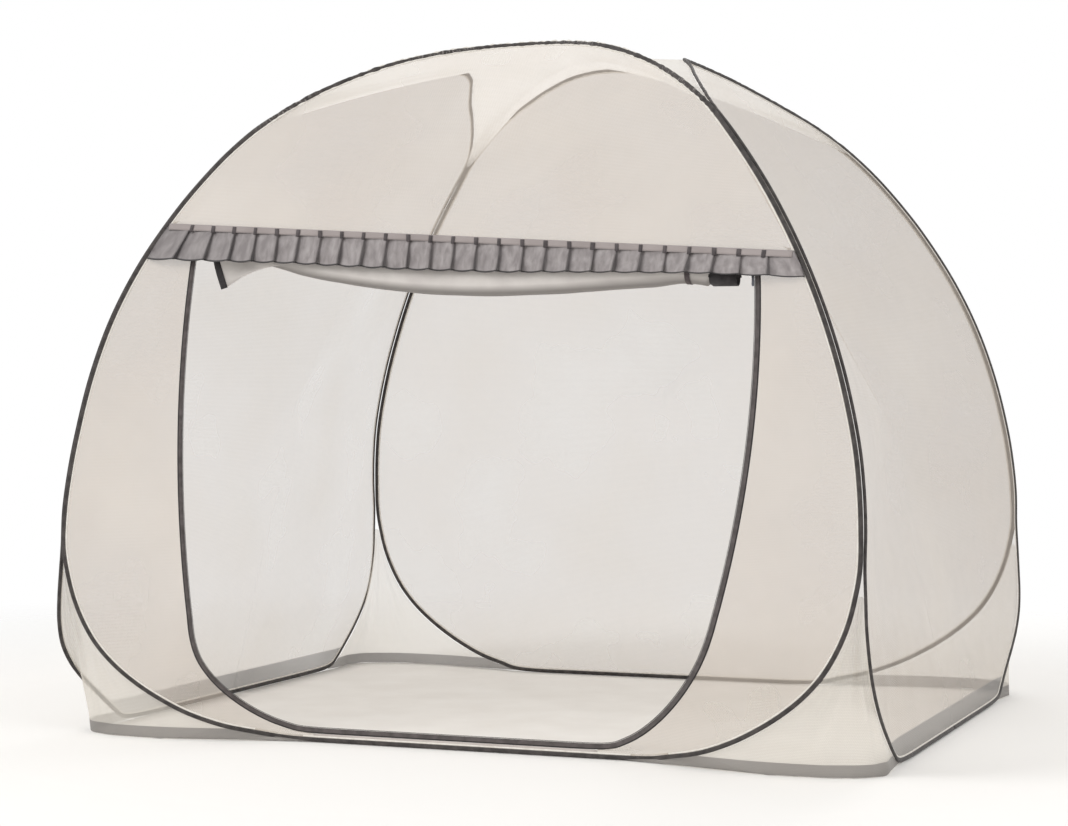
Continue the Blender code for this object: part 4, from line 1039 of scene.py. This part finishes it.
def apron(key, hem, flip):
    """The net between a loop's last rise from the ground and the gusset's hem."""
    loop, t = LOOPS[key], tangents(LOOPS[key])
    under = [loop[i] + across(GUSSET_FOOT - loop[i], t[i]) * TAPE_REACH
             for i in range(RUN_END - 2, RUN_END + 1)]
    under = read(curve_weights(under, 4, closed=False), under)
    edge = (hem if key == "front" else hem[::-1])[: len(under)]
    rows = np.array([edge + (under * flip - edge) * share for share in np.linspace(0, 1, 4)])
    axes = [0, 2] if key == "front" else [1, 2]
    foot = 1 - rows[..., 2] / FOOT_BAND
    return laid(f"{key}_apron", rows, CORNER_NETTING, axes, marks={"foot": foot})


def gusset_piece(name, flip):
    rows = corner_rows()
    fine = finer(rows, curve_weights(rows[len(rows) // 2], 6, closed=False), [4] * len(rows))
    n = unit(np.cross(np.gradient(fine, axis=1), np.gradient(fine, axis=0)) + 1e-12)
    where = np.linspace(0, 1, fine.shape[1])[None, :]
    height = np.linspace(0, 1, fine.shape[0])[:, None]
    held = np.sin(math.pi * where) ** 0.7 * np.sin(math.pi * height) ** 0.5
    fold = np.sin(where * 23 + height * 3) + 0.6 * np.sin(where * 41 - height * 5)
    fine = (fine + n * (GUSSET_FOLD * held * fold)[..., None]) * flip
    run = np.cumsum(np.linalg.norm(np.diff(fine, axis=1, prepend=fine[:, :1]), axis=2), 1)
    flat = np.stack([run - 0.15, fine[..., 2]], -1).reshape(-1, 2)
    made = make_piece(name, fine.reshape(-1, 3), quads(*fine.shape[:2]), CORNER_NETTING, flat,
                      marks={"foot": 1 - fine[..., 2] / FOOT_BAND})
    return joined([made, *(apron(k, fine[-1], flip) for k in ("front", "right"))], name)


gussets = {key: gusset_piece(f"{key}_corner_net", flip) for key, flip in CORNERS.items()}

# %% [markdown]
# ## Ground sheet and sill
# The bottom is one sheet of coated cloth, cut to the loops' outline on the ground. One large
# face would do for a still picture. It is built as rings that shrink to the middle, so that
# it has points to bend at when the net is folded. The sill is a narrow upright strip between
# the front binding on the ground and the zip above it.

# %% Ground sheet
SHEET_STEP, SHEET_RINGS = 0.05, 13


def ground_sheet():
    front, right = LOOPS["front"], LOOPS["right"]
    off = TAPE_OUTER + 2 * CLEARANCE
    quarter = [(front[i][0], front[i][1] + off) for i in (RUN_END, RUN_END - 1)]
    quarter += [(p[0], p[1]) for p in corner_rows()[-1][1:-1]]
    quarter += [(right[i][0] - off, right[i][1]) for i in (RUN_END - 1, RUN_END)]
    outline = []
    for sx, sy, flip in ((1, 1, 1), (1, -1, -1), (-1, -1, 1), (-1, 1, -1)):
        outline += [(sx * x, sy * y, BASE_THICKNESS / 2) for x, y in quarter[::flip]]
    outline = np.array(outline)
    steps = np.maximum(1, (gaps(outline) / SHEET_STEP).astype(int))
    straight = tuple(int(i) for i in np.nonzero(steps > 6)[0])
    ring = read(curve_weights(outline, steps.tolist(), straight=straight), outline)
    shares = np.linspace(1, 0, SHEET_RINGS)[:, None, None]
    rings = ring[None] * (shares * (1, 1, 0) + (0, 0, 1))
    return laid("ground_cloth", rings, SHEET_CLOTH, [0, 1], around=True)


ground = ground_sheet()
low, high = TAPE_OUTER + TUCK_REACH, SILL_HEIGHT - ZIP_REACH - CLEARANCE
sill_x = np.linspace(ZIP_FEET[-1], ZIP_FEET[1], 49)
sill_rows = [[(x, RUN_Y, z) for x in sill_x] for z in np.linspace(low, high, 4)]
sill = thick(laid("sill_strip", sill_rows, SILL_CLOTH, [0, 2]), NET_THICKNESS)
print("ground sheet m2", round(sum(p.area for p in ground.data.polygons), 3))

# %% [markdown]
# ## Nets of the front wall
# Above the header one net fills the arch. On each side of the doorway a narrower one reaches
# from the leg of the loop to the zip tape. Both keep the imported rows, read at finer steps.
# They could be cut out of one large net. Here each is made from its own seams, so that its
# edges lie where the tapes hold them.

# %% Upper and side nets of the front
def front_net(name, base, lean, inner, weights, between):
    """A net from the lips of the binding to what its other edge is sewn to."""
    tuck, out = base + lean * TUCK_REACH, base + lean * OUT_REACH
    rows = [tuck, out, (out + inner[0]) / 2, *inner]
    return laid(name, finer(rows, weights, between), NETTING, [0, 2])


tops = {}
for sign in (-1, 1):
    order = LEGS[sign]
    tops[sign] = cut_at(front_loop[order], SIDES["front"][order], HEADER_HEIGHTS[sign], above=True)
arch, lean = (np.vstack([tops[-1][k][::-1], tops[1][k][1:]]) for k in (0, 1))
nets["upper"] = front_net("front_arch_net", arch, unit(lean), (header, header - UP * HEADER_FLANGE),
                          curve_weights(arch, 8, closed=False), (1, 8, 8, 2))
for sign, key in ((-1, "front_left"), (1, "front_right")):
    order, route = LEGS[sign][:-1], routes[sign]
    edge, u = cut_at(front_loop[order], SIDES["front"][order], ZIP_TOPS[sign], above=False)
    foot = (ZIP_FEET[sign] + sign * CLEARANCE, RUN_Y, TAPE_OUTER)
    edge, u = np.vstack([edge, foot]), np.vstack([u, UP])
    tape_edge = route["line"] + route["out"] * (ZIP_REACH + CLEARANCE)
    tape_edge[-1][0] = foot[0]
    kept = np.unique(np.round(np.concatenate([walk(edge), walk(route["line"])]), 4))
    nets[key] = front_net(f"{key}_panel_net", along(edge, edge, kept), unit(along(u, edge, kept)),
                          (along(tape_edge, route["line"], kept),),
                          curve_weights(kept[:, None] * (1, 0, 0), 3, closed=False), (1, 5, 5))

# %% [markdown]
# ## Header and pleated valance
# The valance hides the rolled door. Its cloth is folded into 27 knife pleats, each a little
# different, and sewn under a paler band with a short dark bar tack over every fold. The folds
# follow a rule, so their profile is written once and repeated with a seeded change for each.
# The cloth leans out with the wall that it hangs on, and its two ends are drawn over the
# ribs. It reaches further down from the header at the left, as in the photograph.

# %% Valance and header band
PLEATS = 27
# Share of the way along the header, and how far the hem hangs below it there
VALANCE_DROPS = ((0.0, 0.087), (0.2, 0.080), (0.4, 0.081), (0.55, 0.077), (0.7, 0.067),
                 (0.86, 0.058), (1.0, 0.056))
VALANCE_THICKNESS, BAND_THICKNESS, TACK_THICKNESS = 0.0008, 0.0012, 0.0008
HEM, HEM_SCALLOP, PLEAT_WAVE = 0.0030, 0.045, 0.0012
DEPTH_TOP, DEPTH_BOTTOM = 0.0045, 0.0130
SLANTS, FULLNESS = (-0.019, -0.004), (0.75, 1.3)
WALL_LEANS, LEANS_MORE_AT_ENDS, END_SPREAD = 0.08, 0.37, 0.17
LIP_FROM_WIRE, LIP_IN_FRONT = 0.0085, 0.0040
TACK_FROM, TACK_LENGTH, TACK_WIDE, TACK_LEAN = 0.0015, 0.0180, (0.0085, 0.0110), 0.0015
TACK_OFF, TACK_BULGE, TACK_TILT = 0.0002, 0.0006, 0.0010
BAND_PAST, BAND_TILT, BAND_WAVE = 0.0070, 0.0006, 0.0003
# One knife pleat: places along it, how deep its cloth stands there, and how much darker it is from
# overlapping layers and painted shade
FOLD_AT = np.array((0.0, 0.10, 0.24, 0.40, 0.56, 0.72, 0.86, 0.97, 1.03, 1.045, 1.02, 0.975))
FOLD_DEPTH = np.array((0.0, 0.16, 0.33, 0.49, 0.63, 0.77, 0.89, 0.98, 1.0, 0.88, 0.55, 0.30))
FOLD_LAYERS_AND_SHADE = np.array((0.70, 0.25, 0.06, 0.0, 0.0, 0.0, 0.0, 0.05, 0.45, 0.75, 0.75, 0.75))
header_x = unit(header_ends[1] - header_ends[0])
outward = unit(np.cross(header_x, UP))
header_length = np.linalg.norm(header_ends[1] - header_ends[0])
pleat = header_length / PLEATS
behind = (NET_THICKNESS + VALANCE_THICKNESS) / 2 + CLEARANCE
front_of = behind + DEPTH_TOP + (VALANCE_THICKNESS + BAND_THICKNESS) / 2 + CLEARANCE


def on_header(run, out, drop):
    """Points given along the header, out from it and down from it."""
    run, out, drop = (np.asarray(v, float)[..., None] for v in (run, out, drop))
    return header_ends[0] + header_x * run + outward * out - UP * drop


def rib_lip(sign, drop):
    """How far along the header and out from it the lip of the rib's tape is, at a drop."""
    line, side = LINES["front"], read(FINE["front"], SIDES["front"])
    near = np.flatnonzero((line[:, 0] * sign > 0.3) & (line[:, 2] > 0.7) & (line[:, 2] < 1.5))
    near = near[np.argsort(-line[near, 2])]
    at = at_height(line[near], side[near], header_ends[max(sign, 0)][2] - drop)
    point = at[..., :3] + unit(at[..., 3:]) * LIP_FROM_WIRE - header_ends[0]
    return point @ header_x, point @ outward + LIP_IN_FRONT


def lean_at(run):
    """How far the front wall leans out under the header, for each metre down."""
    return WALL_LEANS + LEANS_MORE_AT_ENDS * np.abs(2 * np.asarray(run) / header_length - 1) ** 3


def hung(run, depth, share):
    """Points of the valance: along the header, out from it and a share of the way down it."""
    share = np.broadcast_to(share, run.shape)
    drop = share * np.interp(run / header_length, *np.transpose(VALANCE_DROPS))
    depth = depth + lean_at(run) * drop
    for sign, end in ((-1, 0.0), (1, header_length)):
        lip_run, lip_depth = rib_lip(sign, share * VALANCE_DROPS[0 if sign < 0 else -1][1])
        near = np.clip(1 - np.abs(run - end) / END_SPREAD, 0, 1)
        run = run + near**1.6 * (lip_run - end)
        depth = depth + near**3 * (lip_depth - depth) * np.clip((share - 0.15) / 0.3, 0, 1)
    return on_header(run, depth, drop)


def valance_piece():
    change = np.random.RandomState(7)
    from_middle = np.abs(np.linspace(-1, 1, PLEATS))
    slant = change.uniform(*SLANTS, PLEATS) * (0.35 + 0.65 * from_middle)
    fuller = change.uniform(*FULLNESS, PLEATS)
    longest = max(drop for _, drop in VALANCE_DROPS)
    hem = HEM / longest
    shares = np.array((0.0, 0.09, 0.18, 0.30, 0.45, 0.60, 0.74, 0.86, 1 - 1.4 * hem, 1 - hem, 1.0))
    i = np.arange(PLEATS)[:, None]
    ends = np.sin(math.pi * (i + 0.5) / PLEATS) ** 0.3
    across_pleat = np.sin(math.pi * np.clip(np.tile(FOLD_AT, PLEATS), 0, 1))
    rows, dark = [], []
    for share in shares:
        open_out = DEPTH_TOP + (DEPTH_BOTTOM - DEPTH_TOP) * share * fuller[:, None]
        wave = PLEAT_WAVE * np.sin(9 * share + 2.1 * i) * share
        run = (pleat * (i + FOLD_AT) + slant[:, None] * share * ends).ravel()
        depth = (behind + open_out * FOLD_DEPTH + wave).ravel()
        lower = share + HEM_SCALLOP * share**4 * across_pleat
        rows.append(hung(np.clip(run, 0, header_length), depth, lower))
        # The dark folds widen towards the hem: painted shade
        dark.append(np.tile(FOLD_LAYERS_AND_SHADE * (0.55 + 0.45 * share), PLEATS))
    rows, dark = np.array(rows), np.array(dark)
    # The doubled hem is dark all along, and over the left quarter the cloth darkens to its end with
    # painted shade
    dark[-2:] = 1.0
    dark += 0.30 * np.clip(1 - np.linspace(0, 1, dark.shape[1]) / 0.25, 0, 1)
    width = np.linspace(0, header_length * 1.6, rows.shape[1])
    flat = crossed(shares * longest, width)[:, ::-1]
    made = make_piece("pleated_valance", rows.reshape(-1, 3), quads(*rows.shape[:2]), VALANCE_CLOTH,
                      flat, marks={"layers": np.clip(dark, 0, 1)}, turn=False)
    return thick(made, VALANCE_THICKNESS)


def bar_tacks():
    """A short dark bar across the band and the top of every fold."""
    verts, faces, flat = [], [], []
    change = np.random.RandomState(11)
    for i in range(1, PLEATS):
        wide, lean = change.uniform(*TACK_WIDE), change.uniform(-TACK_LEAN, TACK_LEAN)
        for b in (0.0, 0.5, 1.0):
            for a, bulge in ((0, 0.0), (0.5, TACK_BULGE), (1, 0.0)):
                run = pleat * i + wide * (a - 0.5) + lean * b
                drop = TACK_FROM + b * (TACK_LENGTH - TACK_FROM)
                off = front_of + BAND_THICKNESS + TACK_OFF + bulge + TACK_TILT * b
                verts.append(on_header(run, off + lean_at(run) * drop, drop))
                flat.append((run, b * TACK_LENGTH))
        faces += (quads(3, 3) + len(verts) - 9).tolist()
    return thick(make_piece("bar_tacks", verts, faces, TACK_TAPE, flat, turn=False), TACK_THICKNESS)


valance = valance_piece()
runs = np.linspace(-BAND_PAST, header_length + BAND_PAST, 141)
waves = BAND_WAVE * np.sin(runs * 90)
band = [on_header(runs, front_of + BAND_TILT * drop / HEADER_TAPE_WIDTH + waves
                  + lean_at(runs) * drop, drop) for drop in np.linspace(0, HEADER_TAPE_WIDTH, 4)]
band = thick(laid("header_band", band, HEADER_CLOTH, [0, 2]), BAND_THICKNESS)
band = joined([band, bar_tacks()], "header_band")
print("pleats", PLEATS, "of mm", round(float(pleat) * 1000, 1))

# %% [markdown]
# ## The rolled door
# Rolled up, the door is a soft roll of net that hangs in its own loop of cloth, thinner
# where two ribbons pinch it and lower between them. A table says how low it hangs along the
# header. The zip tape down the door's two edges rolls up with it: at the right it is wound in
# a dark spiral round the end of the roll, and at the left a corner of the door has slipped
# out and hangs loose, edged by its tape. The roll is a ring of points carried along the
# header that swells, sags and creases.

# %% Roll, ribbons and the two ends of the door
ROLL_RADIUS, ROLL_TIED_RADIUS, ROLL_CLOTH = 0.028, 0.021, 0.0030
ROLL_PINCH, ROLL_TOP, ROLL_GIRTH_STEP = 0.090, 0.002, 0.0075
ROLL_CREASE, ROLL_SHRINK, ROLL_ROUND_STEP = 0.026, 0.03, 0.26
# Metres along the header, and how far the middle of the roll hangs below it there
ROLL_HANGS = ((0.10, 0.070), (0.242, 0.070), (0.406, 0.092), (0.600, 0.107), (0.790, 0.107),
              (0.990, 0.092), (1.184, 0.070), (1.305, 0.062), (1.45, 0.070))
ROLL_ENDS = (header_ends[0][0] + 0.1268, header_ends[1][0] - 0.1323)
TIES = {"left": header_ends[0][0] + 0.2418, "right": header_ends[1][0] - 0.2373}
TIE_WIDTH, TIE_THICKNESS = 0.012, 0.0010
WOUND_FROM, WOUND_EASE, WOUND_LENGTH, WOUND_PAST = ROLL_ENDS[1] - 0.062, 0.020, 0.056, 0.006
WOUND_CORE, WOUND_CLEAR, WOUND_THICK = 0.012, 0.0010, 0.0060
WOUND_TURNS, WOUND_DRIFT = 4.5, 0.0012
WOUND_HALF, LOOSE_TAPE, LOOSE_HALF, FLAP_THICKNESS = 0.0006, (-0.006, 0.011), 0.0014, 0.0012
FLAP_BACK, FLAP_WAVE = 0.006, 0.004
# The flap's upper and lower edge: metres along the header, metres below it
FLAP_TOP = ((0.300, 0.062), (0.235, 0.074), (0.180, 0.066), (0.128, 0.050), (0.104, 0.052))
FLAP_LOW = ((0.300, 0.086), (0.243, 0.096), (0.192, 0.116), (0.152, 0.138), (0.132, 0.150))
hangs = np.insert(np.array(ROLL_HANGS), 1, 0.0, axis=1)
ROLL_HUNG = read(curve_weights(hangs, [8] * len(hangs), closed=False), hangs)[:, [0, 2]]


def roll_shape(x):
    """Radius of the roll at x, and how far its middle hangs below the header."""
    drop = np.interp((x - header_ends[0][0]) / header_x[0], *ROLL_HUNG.T)
    if x > WOUND_FROM:
        past = min((x - WOUND_FROM) / WOUND_EASE, 1.0)
        return ROLL_TIED_RADIUS - (ROLL_TIED_RADIUS - WOUND_CORE) * past, drop
    pad = TIE_WIDTH / 2 + 4 * CLEARANCE
    gap = max(min(abs(x - TIES["left"]), abs(x - TIES["right"])) - pad, 0.0)
    ease = min(gap / ROLL_PINCH, 1.0)
    return ROLL_TIED_RADIUS + (ROLL_RADIUS - ROLL_TIED_RADIUS) * ease * ease * (3 - 2 * ease), drop


def roll_outline(radius, drop, off, top, step=15):
    """Section of the roll: down its hanging cloth, round the roll and up again."""
    middle, reach = NET_FACE + radius, radius + off
    turn = [math.radians(a) for a in range(180, 481, step)]
    points = [(NET_FACE - off, -top)]
    points += [(middle + reach * math.cos(a), reach * math.sin(a) - drop) for a in turn]
    back = ROLL_CLOTH + off
    rise = math.sqrt(reach**2 - (radius - back) ** 2)
    return np.array([*points, (NET_FACE + back, rise - drop), (NET_FACE + back, -top)])


def round_header(x, ring):
    """A section's points (inwards, up) set round the header line at x."""
    return [header_point(x) - outward * a + UP * b for a, b in ring]


def roll_piece():
    places = np.linspace(*ROLL_ENDS, 161)
    twist = np.cumsum(np.random.RandomState(23).uniform(-0.3, 0.5, len(places)))
    rings, under = [], []
    for x, wrung in zip(places, twist):
        radius, drop = roll_shape(x)
        ring = roll_outline(radius, drop, 0.0, ROLL_TOP)
        middle = np.array((NET_FACE + radius, -drop))
        at = np.arange(len(ring) - 3) * ROLL_ROUND_STEP
        crease = np.sin(3 * at + wrung * 0.25) + 0.7 * np.sin(7 * at - wrung * 0.4)
        crease += 0.5 * np.sin(11 * at + x * 38)
        swell = 1 + (ROLL_CREASE * crease - ROLL_SHRINK)[:, None]
        ring[1:-2] = middle + (ring[1:-2] - middle) * swell
        rings.append(round_header(x, ring))
        # How far down the roll each point lies, for the painted shade on its underside
        under.append((-drop - ring[:, 1]) / radius)
    rings = np.array(rings)
    girth = np.arange(rings.shape[1]) * ROLL_GIRTH_STEP
    wrap = (0.0, girth[-1] + ROLL_GIRTH_STEP)
    return make_piece("door_roll", rings.reshape(-1, 3), tube_faces(*rings.shape[:2]),
                      ROLLED_NETTING, crossed(places, girth), wrap, {"under": np.array(under)})


def wound_zip():
    """The right half of the door's zip tape, wound in a spiral round the end of the roll."""
    x = ROLL_ENDS[1] - WOUND_LENGTH / 2 + WOUND_PAST
    middle = header_point(x) - outward * (NET_FACE + WOUND_CORE) - UP * roll_shape(x)[1]
    turn = np.linspace(0, 2 * math.pi * WOUND_TURNS, 136)
    reach = WOUND_CORE + WOUND_CLEAR + WOUND_THICK * turn / turn[-1]
    line = middle + np.outer(np.cos(turn) * reach, outward) + np.outer(np.sin(turn) * reach, UP)
    inwards = middle - line
    line += header_x * (WOUND_DRIFT * (turn / math.pi - WOUND_TURNS))[:, None]
    outline = mirrored([(-WOUND_HALF, WOUND_LENGTH / 2), (WOUND_HALF, WOUND_LENGTH / 2)])
    return swept("right_wound_zip", line, inwards, outline, WOUND_TAPE, closed=False)


def loose_corner():
    """The door's left corner: a flap of net that slips out of the roll, edged by its zip tape."""
    rows = []
    for share in np.linspace(0, 1, 7)[:, None]:
        run, drop = (np.array(FLAP_TOP) + (np.array(FLAP_LOW) - FLAP_TOP) * share).T
        out = -FLAP_BACK + FLAP_WAVE * np.sin(run * 55 + share * 2.5)
        rows.append(on_header(run, out, drop))
    weights = curve_weights(rows[0], 5, closed=False)
    rows = np.array([read(weights, row) for row in rows])
    flap = thick(laid("loose_flap", rows, ROLLED_NETTING, [0, 2]), FLAP_THICKNESS)
    edge = rows[:, -1]
    side = np.cross(outward, tangents(edge, False))
    outline = mirrored([(a, LOOSE_HALF) for a in LOOSE_TAPE])
    tape = swept("loose_tape", edge, side, outline, WOUND_TAPE, closed=False)
    return joined([flap, tape], "left_loose_corner")


def tie_piece(name, x):
    off, top = CLEARANCE + TIE_THICKNESS / 2, HEADER_FLANGE + CLEARANCE
    line = roll_outline(*roll_shape(x), off, top, step=10)
    centre = np.array(round_header(x, line))
    rows = [centre + header_x * s for s in np.linspace(-TIE_WIDTH / 2, TIE_WIDTH / 2, 5)]
    return thick(laid(name, rows, RIBBON, [0, 2]), TIE_THICKNESS)


roll = roll_piece()
ties = {key: tie_piece(f"{key}_ribbon", x) for key, x in TIES.items()}
door_ends = (loose_corner(), wound_zip())

# %% [markdown]
# ## The zip
# A number-five nylon coil is sewn along a woven tape. The tape is swept along the packed
# line, its outer edge woven dark. The coil's teeth are set along the line with the same
# Geometry Nodes tree as the stitches, one every 2 mm instead of the real 1.5 mm. Placed by
# nodes, they keep an even pitch however the line bends.

# %% Zip tape and coil
SILL_REACH, SILL_PASSES = 0.09, 6
TAPE_HALF, BOUND_HALF, BOUND_WIDTH, BOUND_RAMP = 0.0004, 0.0004 * 1.6, 0.0032, 0.0004
ZIP_STOP_DROP, STOP_LENGTH = 0.0220, 0.0040
STOP_AT = ZIP_STOP_DROP + STOP_LENGTH + CLEARANCE
TOOTH_PITCH, TOOTH_LONG, CORE_RADIUS = 0.0020, 0.0014, 0.0004
zip_points, zip_out = (np.vstack([routes[-1][k], routes[1][k][::-1]]) for k in ("line", "out"))
turn_at = len(routes[-1]["line"]) - 1
zip_steps = [5] * len(zip_points)
zip_steps[turn_at] = 40  # the long straight stretch along the sill
zip_weights = curve_weights(zip_points, zip_steps, closed=False, straight=(turn_at,))
zip_weights = eased(zip_weights, zip_points, (turn_at, turn_at + 1), SILL_REACH, SILL_PASSES)
zip_line, zip_side = read(zip_weights, zip_points), read(zip_weights, zip_out)
near, bound = COIL_WIDTH / 2 + CLEARANCE, ZIP_REACH - BOUND_WIDTH
face = [(near, TAPE_HALF), (bound, TAPE_HALF), (bound + BOUND_RAMP, BOUND_HALF),
        (ZIP_REACH, BOUND_HALF)]
zip_tape = swept("zip_tape", zip_line, zip_side, mirrored(face), ZIP_TAPE, closed=False,
                 marks={"edge": [0, 0, 1, 1, 1, 1, 0, 0]})
t = tangents(zip_line, False)
zip_face = np.cross(t, across(zip_side, t))
total = gaps(zip_line)[:-1].sum()
inside = np.linspace(STOP_AT / total, 1 - STOP_AT / total, 900)
tooth_line, tooth_face, tooth_side = (
    along(v, zip_line, inside) for v in (zip_line, zip_face, zip_side))
teeth = beads("zip_teeth", tooth_line, tooth_face, COIL_NYLON, TOOTH_PITCH,
              (TOOTH_LONG, COIL_WIDTH, COIL_HEIGHT), closed=False, rings=4)
core = swept("zip_core", tooth_line[::4], tooth_side[::4], circle(CORE_RADIUS, 6), COIL_NYLON,
             closed=False)
teeth = joined([teeth, core], "zip_coil_teeth")
print("zip length m", round(float(total), 3))

# %% [markdown]
# ## Rigid parts that stay
# The sleeves on the wires, the sliders, their pull tabs and the zip's top stops are already
# right in shape, so they stay as packed and only take a metal finish.

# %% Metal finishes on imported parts
for key in LOOPS:
    nodes[f"{key}_wire_sleeve"].material_slots[0].material = CRIMPED_STEEL
for key in ("left", "right"):
    for part in ("zip_slider", "pull_tab", "zip_top_stop"):
        nodes[f"{key}_{part}"].material_slots[0].material = PLATED_ZINC

# %% [markdown]
# ## How each piece moves
# The front and the back swing towards each other as the net is folded. Pieces of the front
# and back go with them. What lies between, the side loops, their nets, the roof and the
# ground sheet, is cut at the middle of the net into one half on the side of each wall.

# %% Pieces of the front and back walls
LOOP_PARTS = ((wires, "spring_wire", "spring_steel"), (tapes, "binding", "binding_tape"))
RIDERS = [(objs[wall], wall, f"{wall}_{node}", slot)
          for wall in ("front", "back") for objs, node, slot in LOOP_PARTS]
RIDERS += [(nets["back"], "back", "back_net", "netting"),
           (nets["upper"], "front", "front_upper_net", "netting"),
           (nets["front_left"], "front", "front_left_net", "netting"),
           (nets["front_right"], "front", "front_right_net", "netting"),
           (sill, "front", "front_sill_cloth", "sheet_cloth"),
           (valance, "front", "front_valance", "valance_cloth"),
           (band, "front", "front_header_tape", "valance_cloth"),
           (roll, "front", "rolled_door", "rolled_netting"),
           (zip_tape, "front", "front_zip_tape", "zip_tape"),
           (teeth, "front", "front_zip_coil", "zip_coil")]
RIDERS += [(ties[key], "front", f"{key}_door_tie", "tie_ribbon") for key in TIES]
for obj, wall, node, slot in RIDERS:
    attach(obj, f"{wall}_wall")
    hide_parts(node)
for obj in door_ends:
    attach(obj, "front_wall")

# %% Pieces between the sides and a wall, cut in halves
TOP_REACH, LOW_REACH, NET_REACH, SPLIT_AT = 0.275, 0.640, 0.520, 1.48
WALLS = {"front": -1, "back": 1}


def bend(obj, wall, node, slot, reach):
    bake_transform(obj)
    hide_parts(node)


def bend_halves(obj, node, slot, reach, shell=None):
    """Cuts a piece at the middle into one half on the side of each wall, and hides the imported
    part.
    """
    made = []
    for wall, sign in WALLS.items():
        half = cut_part(obj, f"{obj.name}_{wall}", (0, 0, 0), (0, sign, 0))
        if shell:
            thick(half, shell)
        bend(half, wall, node, slot, reach)
        made.append(half)
    bpy.data.objects.remove(obj)
    return made


for key in ("left", "right"):
    for objs, node, slot in LOOP_PARTS:
        for word, normal, reach in (("top", UP, TOP_REACH), ("low", -UP, LOW_REACH)):
            part = cut_part(objs[key], f"{objs[key].name}_{word}", (0, 0, SPLIT_AT), normal)
            bend_halves(part, f"{key}_{node}", slot, reach)
        bpy.data.objects.remove(objs[key])
    bend_halves(nets[key], f"{key}_net", "netting", NET_REACH)
bend_halves(roof, "roof_cloth", "roof_cloth", TOP_REACH)
bend_halves(ground, "base_sheet", "sheet_cloth", LOW_REACH, BASE_THICKNESS)
for key, gusset in gussets.items():
    bend(gusset, key.split("_")[0], f"{key}_gusset", "netting", LOW_REACH)
